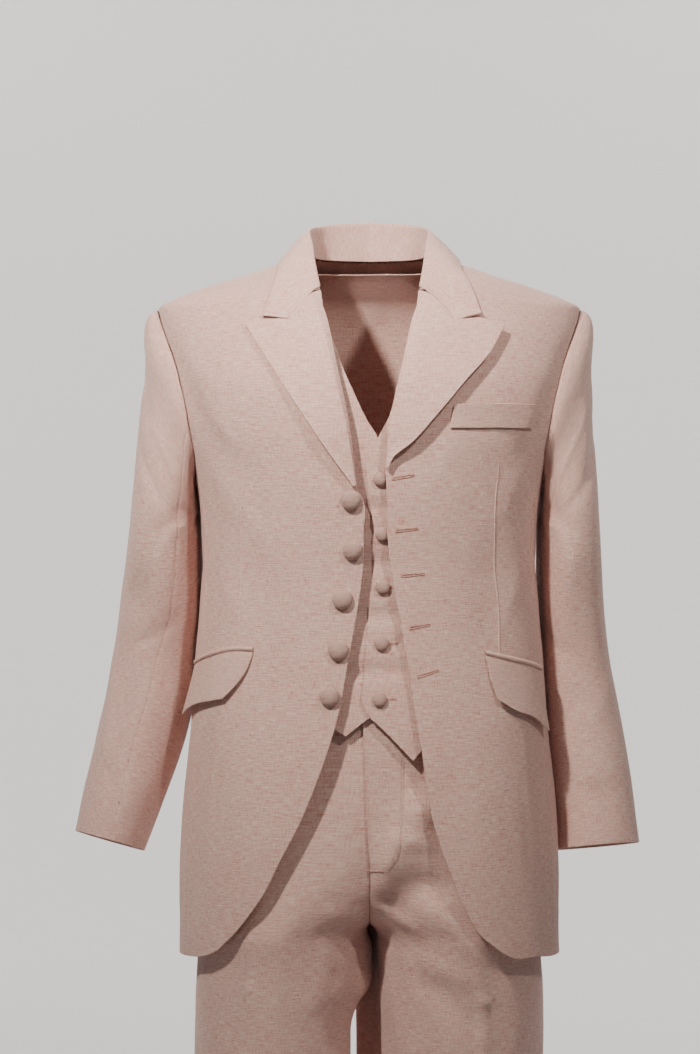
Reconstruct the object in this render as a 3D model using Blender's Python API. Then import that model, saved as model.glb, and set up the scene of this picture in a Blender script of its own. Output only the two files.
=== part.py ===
"""Three-piece suit worn without its wearer: jacket, waistcoat and trousers as cloth panels with a wall.

Units are metres, +Z is up and the front of the suit faces -Y, so the wearer's left hand side is at +X.
Heights in the tables are measured up from the wearer's soles. An empty at the end lowers everything so that
the origin lies at the height where the suit hangs on the wearer.
"""
import math

import bmesh
import bpy
import numpy as np

HELD_HEIGHT = 1.500
WALL = 0.0020
THIN_WALL = 0.0014
SEAM_PULL = 0.00016
LAY_GAP = 0.0003
ROUNDNESS = 2.2
ARC_PER_DEGREE = 0.0030

# Jacket rings. The run is the distance along the cloth from the floor up the side and over the shoulder.
JACKET_RINGS = (
    # run, height, half width, front depth, back depth
    (0.700, 0.700, 0.2105, 0.150, 0.134),
    (0.770, 0.770, 0.2090, 0.150, 0.135),
    (0.840, 0.840, 0.2070, 0.150, 0.138),
    (0.920, 0.920, 0.2025, 0.149, 0.139),
    (0.980, 0.980, 0.1970, 0.147, 0.131),
    (1.050, 1.050, 0.1925, 0.142, 0.114),
    (1.120, 1.120, 0.1865, 0.139, 0.105),
    (1.165, 1.165, 0.1840, 0.140, 0.107),
    (1.200, 1.200, 0.1845, 0.143, 0.112),
    (1.260, 1.260, 0.1925, 0.147, 0.121),
    (1.320, 1.320, 0.2120, 0.146, 0.127),
    (1.360, 1.360, 0.2215, 0.139, 0.128),
    (1.400, 1.397, 0.2280, 0.123, 0.125),
    (1.440, 1.430, 0.2325, 0.107, 0.119),
    (1.465, 1.447, 0.2330, 0.097, 0.114),
    (1.483, 1.457, 0.2170, 0.091, 0.110),
    (1.505, 1.465, 0.1975, 0.085, 0.106),
    (1.530, 1.473, 0.1720, 0.077, 0.100),
    (1.555, 1.481, 0.1450, 0.067, 0.092),
    (1.580, 1.490, 0.1200, 0.056, 0.083),
    (1.600, 1.498, 0.0970, 0.047, 0.075),
    (1.622, 1.509, 0.0715, 0.037, 0.063),
)
NECK_RUN = 1.619

# Soft troughs and ridges of the jacket: from one point of the cloth to another, in degrees round and run.
JACKET_FOLDS = (
    # angle from, run from, angle to, run to, height, half width
    (-40.0, 1.255, -42.0, 1.100, -0.0020, 0.022),
    (40.0, 1.255, 42.0, 1.100, -0.0020, 0.022),
    (-60.0, 1.270, -30.0, 1.180, 0.0018, 0.020),
    (62.0, 1.280, 36.0, 1.190, 0.0018, 0.022),
    (-66.0, 1.395, -52.0, 1.290, -0.0035, 0.018),
    (66.0, 1.395, 54.0, 1.290, -0.0030, 0.018),
    (-34.0, 0.990, -40.0, 0.780, 0.0035, 0.030),
    (34.0, 0.990, 40.0, 0.780, 0.0030, 0.030),
    (-64.0, 1.000, -66.0, 0.760, -0.0030, 0.024),
    (62.0, 1.010, 64.0, 0.770, -0.0035, 0.024),
    (-150.0, 1.010, -148.0, 0.770, 0.0030, 0.030),
    (152.0, 1.020, 149.0, 0.780, 0.0030, 0.030),
    (-168.0, 1.150, -128.0, 1.120, -0.0025, 0.018),
    (166.0, 1.160, 130.0, 1.125, -0.0025, 0.018),
    (-125.0, 1.390, -137.0, 1.270, -0.0030, 0.020),
    (126.0, 1.395, 138.0, 1.275, -0.0030, 0.020),
)

# Edges seen from the front, x and height. The wearer's right is at -X.
RIGHT_EDGE = (
    (-0.1602, 0.7587), (-0.1414, 0.7792), (-0.1274, 0.7973), (-0.1135, 0.8177), (-0.0943, 0.8570),
    (-0.0733, 0.8981), (-0.0599, 0.9303), (-0.0466, 0.9664), (-0.0304, 1.0241), (-0.0241, 1.0616),
    (-0.0140, 1.1173), (-0.0077, 1.1630), (-0.0069, 1.2039), (-0.0072, 1.2340), (-0.0137, 1.2456),
)
LEFT_EDGE = (
    (0.1344, 0.7617), (0.1156, 0.7785), (0.1017, 0.8020), (0.0868, 0.8389), (0.0721, 0.8794),
    (0.0613, 0.9223), (0.0547, 0.9729), (0.0468, 1.0187), (0.0406, 1.0615), (0.0314, 1.1122),
    (0.0251, 1.1452), (0.0187, 1.1986), (0.0180, 1.2394), (0.0166, 1.2644),
)
RIGHT_ROLL = (
    (-0.0137, 1.2456), (-0.0227, 1.3208), (-0.0357, 1.3826), (-0.0480, 1.4370), (-0.0552, 1.4620),
    (-0.0610, 1.4830), (-0.0670, 1.5060),
)
LEFT_ROLL = (
    (0.0166, 1.2644), (0.0176, 1.3098), (0.0236, 1.3362), (0.0358, 1.3880), (0.0481, 1.4366),
    (0.0552, 1.4620), (0.0615, 1.4830), (0.0672, 1.5060),
)
RIGHT_LAPEL_EDGE = (
    (-0.0137, 1.2456), (-0.0419, 1.2846), (-0.0653, 1.3190), (-0.0957, 1.3644), (-0.1219, 1.4057),
    (-0.1322, 1.4225),
)
LEFT_LAPEL_EDGE = (
    (0.0166, 1.2644), (0.0225, 1.2790), (0.0417, 1.2948), (0.0671, 1.3228), (0.0957, 1.3563),
    (0.1220, 1.3849), (0.1405, 1.4185),
)
RIGHT_GORGE = ((-0.0552, 1.4600), (-0.0711, 1.4424), (-0.0865, 1.4257))
LEFT_GORGE = ((0.0552, 1.4600), (0.0717, 1.4425), (0.0892, 1.4237))
RIGHT_NOTCH = ((-0.0865, 1.4257), (-0.1100, 1.4266), (-0.1322, 1.4225))
LEFT_NOTCH = ((0.0892, 1.4237), (0.1150, 1.4262), (0.1405, 1.4185))
HEM_LINE = (
    # angle from the front centre, run
    (56.0, 0.7480),
    (72.0, 0.7430),
    (90.0, 0.7400),
    (115.0, 0.7370),
    (180.0, 0.7350),
)
FRONT_SIDE_SEAM = ((72.0, 0.743), (72.0, 1.050), (73.0, 1.180))
BACK_SIDE_SEAM = ((115.0, 0.737), (113.0, 1.050), (111.0, 1.180))

# Armhole loop on the side of the trunk, seen from the side.
ARMHOLE_MIDDLE = 1.350
ARMHOLE_HALF_HEIGHT = 0.0970
ARMHOLE_HALF_DEPTH = 0.0620
ARMHOLE_SIDE_ANGLE = 50.0
SLEEVE_SEAM_ANGLE = 66.25
SIDE_NAME = {-1: "right", 1: "left"}
SEAM_ROWS = 13
ARMHOLE_ROWS = 8
FRONT_COLUMNS = 8
BACK_COLUMNS = 9
SHOULDER_COLUMNS = 6
SIDE_COLUMNS = 4
ROLL_CUT = 0.004
SLEEVE_RINGS = {
    -1: (
        # height, outer x, inner x, middle y, half depth
        (1.215, 0.2640, 0.1874, 0.012, 0.078),
        (1.127, 0.2765, 0.1853, 0.030, 0.073),
        (1.070, 0.2845, 0.1908, 0.036, 0.069),
        (1.010, 0.2950, 0.1972, 0.033, 0.065),
        (0.960, 0.3060, 0.2110, 0.027, 0.062),
        (0.910, 0.3170, 0.2290, 0.019, 0.060),
        (0.859, 0.3270, 0.2480, 0.010, 0.057),
    ),
    1: (
        (1.215, 0.2550, 0.1880, 0.012, 0.078),
        (1.127, 0.2620, 0.1885, 0.031, 0.073),
        (1.070, 0.2680, 0.1905, 0.039, 0.069),
        (1.010, 0.2780, 0.1950, 0.039, 0.065),
        (0.950, 0.2890, 0.1998, 0.034, 0.062),
        (0.900, 0.2955, 0.2042, 0.027, 0.060),
        (0.852, 0.3010, 0.2072, 0.019, 0.058),
    ),
}
SLEEVE_FOLDS = {
    -1: (
        # alpha from, share from, alpha to, share to, height, half width
        (182.0, 0.10, 140.0, 0.17, -0.0030, 0.016),
        (60.0, 0.30, 120.0, 0.46, -0.0030, 0.020),
        (85.0, 0.44, 60.0, 0.90, 0.0028, 0.020),
        (135.0, 0.30, 125.0, 0.80, 0.0025, 0.022),
        (-60.0, 0.46, -120.0, 0.56, -0.0035, 0.018),
        (-70.0, 0.58, -130.0, 0.62, 0.0030, 0.016),
        (-100.0, 0.20, -95.0, 0.40, 0.0025, 0.020),
    ),
    1: (
        (182.0, 0.20, 140.0, 0.27, -0.0032, 0.016),
        (60.0, 0.28, 118.0, 0.42, -0.0028, 0.020),
        (92.0, 0.42, 70.0, 0.88, 0.0025, 0.020),
        (140.0, 0.34, 128.0, 0.82, 0.0022, 0.022),
        (-58.0, 0.46, -122.0, 0.56, -0.0035, 0.018),
        (-72.0, 0.58, -128.0, 0.63, 0.0030, 0.016),
        (-104.0, 0.20, -98.0, 0.40, 0.0025, 0.020),
    ),
}
SLEEVE_LENGTH = 0.60
SLEEVE_ARC = 0.00105
SLEEVE_SIT = 0.0004
CAP_SHARE = 0.34
CAP_BULGE = 0.0055
SEAM_SWINGS = {
    # degrees by which the front seam turns from its place at the armhole, ring by ring down the sleeve
    -1: (-4.0, 7.0, 16.0, 21.0, 23.0, 20.0, 15.0),
    1: (-16.0, -25.0, -31.0, -33.0, -33.0, -31.0, -30.0),
}
SLEEVE_ROWS = 16
LAPEL_ROWS = 12
LAPEL_SHARES = (0.0, 0.13, 0.30, 0.50, 0.75, 1.0)
LAPEL_LIFTS = {
    -1: (0.0010, 0.0064, 0.0062, 0.0052, 0.0042, 0.0034),
    1: (0.0010, 0.0068, 0.0078, 0.0082, 0.0088, 0.0094),
}
COLLAR_ROWS = (
    # share of the way, crest x, y, z, base x, y, z
    (0.00, 0.0556, -0.0895, 1.4640, 0.0520, -0.0870, 1.4560),
    (0.22, 0.0600, -0.0650, 1.4900, 0.0580, -0.0600, 1.4790),
    (0.42, 0.0630, -0.0350, 1.5150, 0.0615, -0.0310, 1.5000),
    (0.60, 0.0660, 0.0000, 1.5350, 0.0665, 0.0000, 1.5095),
    (0.80, 0.0490, 0.0450, 1.5465, 0.0500, 0.0430, 1.5070),
    (1.00, 0.0000, 0.0635, 1.5520, 0.0000, 0.0598, 1.5070),
)
COLLAR_OUTER = {
    -1: ((-0.1143, 1.4299), (-0.1046, 1.4545), (-0.0990, 1.4800)),
    1: ((0.1183, 1.4325), (0.1084, 1.4611), (0.1000, 1.4830)),
}
COLLAR_BACK = ((92.0, 1.600), (135.0, 1.584), (180.0, 1.568))
COLLAR_LIFT = 0.0050
COLLAR_HALF_ROWS = 9
COLLAR_SHARES = (0.0, 0.065, 0.13, 0.30, 0.40, 0.50, 0.60, 0.70)
FLAP_TOP = {
    -1: ((-0.1236, 1.0745), (-0.1471, 1.0740), (-0.1700, 1.0670), (-0.1890, 1.0560)),
    1: ((0.1218, 1.0706), (0.1432, 1.0650), (0.1680, 1.0580), (0.1850, 1.0500)),
}
FLAP_FOOT = {
    -1: ((-0.1525, 1.0238), (-0.1678, 1.0205), (-0.1800, 1.0165), (-0.1948, 1.0010)),
    1: ((0.1328, 1.0240), (0.1506, 1.0123), (0.1700, 1.0040), (0.1875, 0.9860)),
}
FLAP_LIFT = {-1: (0.0021, 0.0068, 0.0110), 1: (0.0021, 0.0062, 0.0085)}
FLAP_BOW = {-1: (1.8, 2.6, 2.0), 1: (0.2, 0.5, 0.5)}
PIPING_HEIGHT = 0.0055
PIPING_WALL = 0.0012
FLAP_ROWS = 4
FLAP_COLUMNS = 6
WELT_TOP = ((0.0876, 1.3347), (0.1300, 1.3365), (0.1735, 1.3375))
WELT_FOOT = ((0.0835, 1.3109), (0.1290, 1.3120), (0.1727, 1.3125))
WELT_LIFT = 0.0011
JACKET_BUTTONS = (
    (-0.0200, 1.2352), (-0.0184, 1.1833), (-0.0287, 1.1313), (-0.0330, 1.0780), (-0.0419, 1.0297),
)
JACKET_BUTTON = (0.0108, 0.0085)
WAISTCOAT_BUTTON = (0.0078, 0.0058)
BUTTON_LOOK = {"colour": (0.70, 0.52, 0.47), "roughness": 0.7}
WAISTCOAT_EDGE = {
    # The wearer's right front runs on under the left one.
    -1: ((-0.0245, 0.9880), (0.0030, 1.0095), (0.0080, 1.0300), (0.0220, 1.0900), (0.0240, 1.1600),
         (0.0220, 1.2300), (0.0180, 1.2820)),
    1: ((0.0435, 0.9620), (0.0010, 1.0065), (-0.0084, 1.0234), (-0.0074, 1.0359), (0.0000, 1.1250),
        (0.0063, 1.1860), (-0.0010, 1.2400), (-0.0042, 1.2730)),
}
WAISTCOAT_NECK = {
    -1: ((0.0180, 1.2820), (0.0083, 1.3003), (-0.0231, 1.3681), (-0.0412, 1.4185), (-0.0545, 1.4600),
         (-0.0640, 1.4860), (-0.0740, 1.5000)),
    1: ((-0.0042, 1.2730), (0.0083, 1.3003), (0.0300, 1.3470), (0.0470, 1.4080), (0.0565, 1.4600),
        (0.0650, 1.4860), (0.0740, 1.5000)),
}
WAISTCOAT_HEM = {
    -1: ((-0.0245, 0.9880), (-0.0700, 1.0160), (-0.1200, 1.0250)),
    1: ((0.0435, 0.9620), (0.0800, 1.0060), (0.1200, 1.0230)),
}
WAISTCOAT_SIDE_FOOT = 1.024
WAISTCOAT_UNDERARM = 1.205
WAISTCOAT_NECK_RUN = 1.610
WAISTCOAT_TIP_RUN = 1.550
WAISTCOAT_ARMHOLE = (
    (90.0, 1.205), (74.0, 1.235), (64.0, 1.300), (62.0, 1.380), (68.0, 1.465), (90.0, 1.550),
)
OVERLAP_LIFT = 0.0036
W_ROWS_LOW = 8
W_ROWS_HIGH = 8
W_COLUMNS = 7
WAISTCOAT_BUTTONS = (
    (0.0104, 1.2573), (0.0126, 1.1986), (0.0126, 1.1439), (0.0116, 1.0851), (0.0094, 1.0265),
)
TROUSER_RINGS = (
    # height, half width, leg middle x, front depth, back depth, middle y
    (0.040, 0.1720, 0.1070, 0.095, 0.092, 0.004),
    (0.250, 0.1740, 0.1040, 0.097, 0.098, 0.006),
    (0.480, 0.1830, 0.0980, 0.103, 0.104, 0.006),
    (0.620, 0.1925, 0.0985, 0.108, 0.110, 0.004),
    (0.700, 0.1915, 0.0972, 0.112, 0.104, 0.003),
    (0.745, 0.1890, 0.0952, 0.116, 0.102, 0.002),
    (0.772, 0.1875, 0.0938, 0.119, 0.100, 0.000),
    (0.790, 0.1868, 0.0800, 0.121, 0.101, 0.000),
    (0.815, 0.1860, 0.0620, 0.123, 0.103, 0.000),
    (0.850, 0.1850, 0.0400, 0.125, 0.107, 0.000),
    (0.900, 0.1835, 0.0180, 0.126, 0.111, 0.000),
    (0.960, 0.1790, 0.0040, 0.125, 0.108, 0.000),
    (1.046, 0.1730, 0.0005, 0.122, 0.093, 0.000),
)
TROUSER_CROTCH = 0.772
TROUSER_TOP = 1.045
TROUSER_FOLDS = {
    -1: (
        # angle from, height from, angle to, height to, ridge height, half width
        (-70.0, 0.700, -60.0, 0.560, 0.0035, 0.022),
        (45.0, 0.720, 55.0, 0.480, -0.0030, 0.026),
        (150.0, 0.840, 215.0, 0.800, 0.0030, 0.020),
        (160.0, 0.520, 200.0, 0.480, 0.0035, 0.026),
        (0.0, 0.120, 40.0, 0.070, -0.0030, 0.022),
    ),
    1: (
        (13.0, 0.912, 4.0, 0.877, 0.0060, 0.015),
        (4.0, 0.877, -20.0, 0.832, 0.0075, 0.015),
        (4.0, 0.830, -20.0, 0.800, -0.0065, 0.015),
        (-70.0, 0.700, -60.0, 0.560, 0.0035, 0.022),
        (48.0, 0.735, 58.0, 0.480, -0.0035, 0.026),
        (150.0, 0.840, 215.0, 0.800, 0.0030, 0.020),
        (160.0, 0.530, 200.0, 0.490, 0.0035, 0.026),
        (-5.0, 0.125, 35.0, 0.075, -0.0030, 0.022),
    ),
}
CREASE_ROWS = (
    # height, how far the pressed crease stands out
    (0.040, 0.0120),
    (0.500, 0.0100),
    (0.760, 0.0060),
    (0.880, 0.0030),
    (1.000, 0.0000),
    (1.050, 0.0000),
)
CREASE_WIDTH = 20.0
INNER_SWING = {
    # height, how far the inner edge of the leg draws away from the other leg
    -1: (
        (0.040, 0.0), (0.250, 0.0), (0.480, 0.0040), (0.560, 0.0110), (0.640, 0.0165), (0.672, 0.0150),
        (0.690, 0.0080), (0.706, -0.0030), (0.735, -0.0045), (0.758, -0.0025), (0.772, 0.0),
    ),
    1: (
        (0.040, 0.0), (0.250, 0.0), (0.480, 0.0030), (0.570, 0.0075), (0.640, 0.0100), (0.700, 0.0090),
        (0.735, 0.0075), (0.758, 0.0050), (0.772, 0.0),
    ),
}
BACK_FOLD = {
    # height, how far the inner back of the leg hangs in behind the other leg
    -1: ((0.040, 0.0), (1.100, 0.0)),
    1: (
        (0.040, 0.0), (0.250, 0.0), (0.400, 0.0080), (0.520, 0.0240), (0.600, 0.0360), (0.672, 0.0375),
        (0.690, 0.0330), (0.706, 0.0240), (0.735, 0.0205), (0.758, 0.0190), (0.766, 0.0120),
        (0.772, 0.0), (1.100, 0.0),
    ),
}
BACK_FOLD_ANGLE = -120.0
BACK_FOLD_BREADTH = (17.0, 34.0)
LEG_ARC = 0.0017
LEG_ROW_HEIGHTS = (
    0.040, 0.130, 0.220, 0.310, 0.400, 0.490, 0.570, 0.640, 0.672, 0.690, 0.706, 0.735,
    0.758, 0.780, 0.795, 0.815, 0.840, 0.870, 0.910, 0.955, 1.000, 1.045,
)
LEG_COLUMNS = 10
BAND_TOP = 1.083
FLY_WALL = 0.0012
FLY_LIFT = 0.0009
FLY_ROWS = (
    # height, x of the free edge, x of the stitched edge
    (0.846, 0.0010, 0.0150),
    (0.857, 0.0000, 0.0240),
    (0.870, -0.0012, 0.0300),
    (0.910, -0.0034, 0.0325),
    (0.955, -0.0050, 0.0325),
    (1.000, -0.0068, 0.0320),
    (1.043, -0.0080, 0.0320),
)


def smooth(rows, column, at):
    """Value of one table column at the given places, by cubic pieces through the rows."""
    table = np.asarray(rows, float)
    key, value = table[:, 0], table[:, column]
    at = np.clip(np.asarray(at, float), key[0], key[-1])
    step = np.diff(key)
    slope = np.diff(value) / step
    middle = (slope[:-1] * step[1:] + slope[1:] * step[:-1]) / (step[:-1] + step[1:])
    tangent = np.concatenate(([slope[0]], middle, [slope[-1]]))
    turn = slope[:-1] * slope[1:] <= 0
    tangent[1:-1][turn] = 0.0
    i = np.clip(np.searchsorted(key, at, side="right") - 1, 0, len(key) - 2)
    t = (at - key[i]) / step[i]
    h00 = 2 * t**3 - 3 * t**2 + 1
    h10 = t**3 - 2 * t**2 + t
    h01 = -2 * t**3 + 3 * t**2
    h11 = t**3 - t**2
    return h00 * value[i] + h10 * step[i] * tangent[i] + h01 * value[i + 1] + h11 * step[i] * tangent[i + 1]


def power(value, exponent):
    """Signed power."""
    return np.sign(value) * np.abs(value) ** exponent


def unit(vector):
    """Vectors scaled to length one."""
    return vector / np.maximum(np.linalg.norm(vector, axis=-1, keepdims=True), 1e-12)


def fold_height(folds, angle, run):
    """Sum of the soft folds at the given places of the cloth."""
    total = np.zeros(np.broadcast(angle, run).shape)
    for a0, r0, a1, r1, height, width in folds:
        dx = (a1 - a0) * ARC_PER_DEGREE
        dy = r1 - r0
        px = (angle - a0) * ARC_PER_DEGREE
        py = run - r0
        along = (px * dx + py * dy) / (dx * dx + dy * dy)
        inside = np.clip(along, 0.0, 1.0)
        away = np.hypot(px - inside * dx, py - inside * dy)
        taper = 0.35 + 0.65 * np.sin(np.pi * np.clip(inside, 0.02, 0.98)) ** 0.7
        total = total + height * taper * np.exp(-((away / width) ** 2))
    return total


class Trunk:
    """Closed rings round the body; a place on it is an angle in degrees from the front and a run."""

    def __init__(self, rings, folds, inset=0.0):
        self.rings = rings
        self.folds = folds
        self.inset = inset

    def bare(self, angle, run):
        height, wide, front, back = (smooth(self.rings, k, run) for k in (1, 2, 3, 4))
        turn = np.radians(angle)
        cosine = np.cos(turn)
        depth = np.where(cosine > 0, front, back)
        x = wide * power(np.sin(turn), 2 / ROUNDNESS)
        y = -depth * power(cosine, 2 / ROUNDNESS)
        return np.stack(np.broadcast_arrays(x, y, height), -1)

    def outward(self, angle, run):
        da, dr = 1.5, 0.004
        round_way = self.bare(angle + da, run) - self.bare(angle - da, run)
        up_way = self.bare(angle, run + dr) - self.bare(angle, run - dr)
        return unit(np.cross(round_way, up_way))

    def at(self, place, lift=0.0):
        angle, run = place[..., 0], place[..., 1]
        rise = np.asarray(lift) - self.inset
        rise = rise + fold_height(self.folds, angle, run)
        return self.bare(angle, run) + self.outward(angle, run) * rise[..., None]

    def run_of(self, height):
        table = np.asarray(self.rings, float)
        return np.interp(height, table[:, 1], table[:, 0])

    def seen(self, points):
        """Places of points given as x and height in the front view."""
        points = np.asarray(points, float)
        run = self.run_of(points[:, 1])
        wide = smooth(self.rings, 2, run) - self.inset
        share = np.clip(np.abs(points[:, 0]) / wide, 0, 1)
        angle = np.degrees(np.arcsin(share ** (ROUNDNESS / 2))) * np.sign(points[:, 0])
        return np.stack((angle, run), -1)

    def beside(self, y, height, side):
        """Places of points given as y and height in the side view."""
        run = self.run_of(height)
        front, back = smooth(self.rings, 3, run), smooth(self.rings, 4, run)
        depth = np.where(y < 0, front, back)
        share = np.clip(np.abs(y) / depth, 0, 1) ** (ROUNDNESS / 2)
        angle = np.degrees(np.arccos(share))
        angle = np.where(y > 0, 180 - angle, angle)
        return np.stack((side * angle, run), -1)


def resample(points, count):
    """The line through the points, cut into equal lengths."""
    points = np.asarray(points, float)
    metric = points * (ARC_PER_DEGREE, 1.0)
    length = np.concatenate(([0.0], np.cumsum(np.linalg.norm(np.diff(metric, axis=0), axis=1))))
    at = np.linspace(0, length[-1], count + 1)
    return np.stack([np.interp(at, length, points[:, k]) for k in range(points.shape[1])], -1)


def rounded(points, count):
    """Like resample, through a smooth line instead of straight pieces."""
    points = np.asarray(points, float)
    metric = points * (ARC_PER_DEGREE, 1.0)
    length = np.concatenate(([0.0], np.cumsum(np.linalg.norm(np.diff(metric, axis=0), axis=1))))
    rows = np.column_stack((length, points))
    at = np.linspace(0, length[-1], count + 1)
    return np.stack([smooth(rows, k + 1, at) for k in range(points.shape[1])], -1)


def join(*lines):
    """Lines laid end to end, shared end points kept once."""
    out = [np.asarray(lines[0])]
    for line in lines[1:]:
        out.append(np.asarray(line)[1:])
    return np.concatenate(out)


def fill(left, right, bottom, top):
    """Places between four edge lines of a panel; rows go up, columns go across."""
    v = np.linspace(0, 1, len(left))[:, None, None]
    u = np.linspace(0, 1, len(bottom))[None, :, None]
    flat = (1 - u) * left[:, None] + u * right[:, None] + (1 - v) * bottom[None] + v * top[None]
    flat = flat - (1 - u) * (1 - v) * left[0] - u * (1 - v) * right[0]
    return flat - (1 - u) * v * left[-1] - u * v * right[-1]


def cloth_material(name, colour, roughness):
    """Plain cloth colour."""
    material = bpy.data.materials.new(name)
    material.use_nodes = True
    shader = material.node_tree.nodes["Principled BSDF"]
    shader.inputs["Base Color"].default_value = (*colour, 1.0)
    shader.inputs["Roughness"].default_value = roughness
    shader.inputs["Metallic"].default_value = 0.0
    return material


def add_object(name, bm, colour=(0.72, 0.53, 0.48), roughness=0.92):
    """Named object with its own material, in the suit's collection."""
    bmesh.ops.recalc_face_normals(bm, faces=bm.faces[:])
    if bm.calc_volume(signed=True) < 0:
        bmesh.ops.reverse_faces(bm, faces=bm.faces[:])
    mesh = bpy.data.meshes.new(name)
    bm.to_mesh(mesh)
    bm.free()
    piece = bpy.data.objects.new(name, mesh)
    mesh.materials.append(cloth_material(name + "_cloth", colour, roughness))
    SUIT.objects.link(piece)
    piece.parent = HANGER
    return piece


def pulled(points, edges, amount=SEAM_PULL):
    """Edge rows moved in from the seam; edges is any of the letters l, r, b and t."""
    out = points.copy()
    if "l" in edges:
        out[:, 0] += unit(points[:, 1] - points[:, 0]) * amount
    if "r" in edges:
        out[:, -1] += unit(points[:, -2] - points[:, -1]) * amount
    if "b" in edges:
        out[0] += unit(points[1] - points[0]) * amount
    if "t" in edges:
        out[-1] += unit(points[-2] - points[-1]) * amount
    return out


def sheet(name, outer, inner, edges="lrbt", pull=SEAM_PULL, **look):
    """Closed cloth wall between two grids of points with the same rows and columns."""
    rows, columns = outer.shape[:2]
    shift = pulled(outer, edges, pull) - outer
    faces = {"outer": (outer + shift).reshape(-1, 3), "inner": (inner + shift).reshape(-1, 3)}
    bm = bmesh.new()
    station = bm.verts.layers.int.new("station")
    bmesh.ops.create_grid(bm, x_segments=columns - 1, y_segments=rows - 1, size=1.0)
    for vert in bm.verts:
        column = round((vert.co.x + 1) / 2 * (columns - 1))
        row = round((vert.co.y + 1) / 2 * (rows - 1))
        vert[station] = row * columns + column
    grown = bmesh.ops.extrude_face_region(bm, geom=bm.faces[:])["geom"]
    fresh = {item for item in grown if isinstance(item, bmesh.types.BMVert)}
    for vert in bm.verts:
        side = "inner" if vert in fresh else "outer"
        vert.co = faces[side][vert[station]]
    return add_object(name, bm, **look)


def panel(name, trunk, places, lift=0.0, wall=WALL, edges="lrbt", **look):
    """Cloth wall that lies on a trunk: its outer face at the given lift, its thickness inward."""
    lift = np.broadcast_to(np.asarray(lift, float), places.shape[:2])
    return sheet(name, trunk.at(places, lift), trunk.at(places, lift - wall), edges, **look)


def dome(name, trunk, place, radius, height, lift, **look):
    """Covered button: a domed front on a shallower back, standing on the cloth."""
    bm = bmesh.new()
    bmesh.ops.create_uvsphere(bm, u_segments=12, v_segments=7, radius=1.0)
    back = 0.30 * height
    for vert in bm.verts:
        vert.co.x *= radius
        vert.co.y *= radius
        vert.co.z = vert.co.z * (height - back) if vert.co.z > 0 else vert.co.z * back
    place = np.asarray(place, float)
    out = trunk.outward(place[0], place[1])
    centre = trunk.at(place, lift + back)
    right = unit(np.cross((0.0, 0.0, 1.0), out))
    up = np.cross(out, right)
    for vert in bm.verts:
        x, y, z = vert.co
        vert.co = centre + right * x + up * y + out * z
    return add_object(name, bm, **look)


# The old contents of the file go first.
for old in list(bpy.data.objects):
    bpy.data.objects.remove(old, do_unlink=True)
SUIT = bpy.data.collections.new("three_piece_suit")
bpy.context.scene.collection.children.link(SUIT)
HANGER = bpy.data.objects.new("hanger", None)
SUIT.objects.link(HANGER)
HANGER.location = (0.0, 0.0, -HELD_HEIGHT)

JACKET = Trunk(JACKET_RINGS, JACKET_FOLDS)


def armhole(alpha, side):
    """Places on the armhole; alpha is 0 at the armpit, 90 at the front and 180 at the shoulder."""
    turn = np.radians(alpha)
    y = -ARMHOLE_HALF_DEPTH * np.sin(turn) * (1 + 0.30 * np.cos(turn))
    height = ARMHOLE_MIDDLE - ARMHOLE_HALF_HEIGHT * np.cos(turn)
    return JACKET.beside(y, height, side)


def mirrored(rows, side):
    """Angle and run rows on the given side of the wearer."""
    return np.asarray(rows, float) * (side, 1.0)


def hem_places(first, last, count, side, start=None):
    """Hem line between two angles."""
    angle = np.linspace(first, last, count + 1)
    run = smooth(HEM_LINE, 1, angle)
    if start is not None:
        fade = np.clip(1 - (angle - first) / 12.0, 0, 1) ** 2
        run = run + (start - run[0]) * fade
    return np.stack((side * angle, run), -1)


FRONT_STATIONS = np.linspace(ARMHOLE_SIDE_ANGLE, 180.0, ARMHOLE_ROWS + 1)
UNDER_STATIONS = np.linspace(-ARMHOLE_SIDE_ANGLE, ARMHOLE_SIDE_ANGLE, SIDE_COLUMNS + 1)


def seam_line(rows, side, corner):
    """Side seam from the hem to a corner on the armhole."""
    return rounded(join(mirrored(rows, side), [corner, corner])[: len(rows) + 1], SEAM_ROWS)


EDGE = {-1: RIGHT_EDGE, 1: LEFT_EDGE}
ROLL = {-1: RIGHT_ROLL, 1: LEFT_ROLL}
LAPEL_EDGE = {-1: RIGHT_LAPEL_EDGE, 1: LEFT_LAPEL_EDGE}
GORGE = {-1: RIGHT_GORGE, 1: LEFT_GORGE}
NOTCH = {-1: RIGHT_NOTCH, 1: LEFT_NOTCH}

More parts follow.
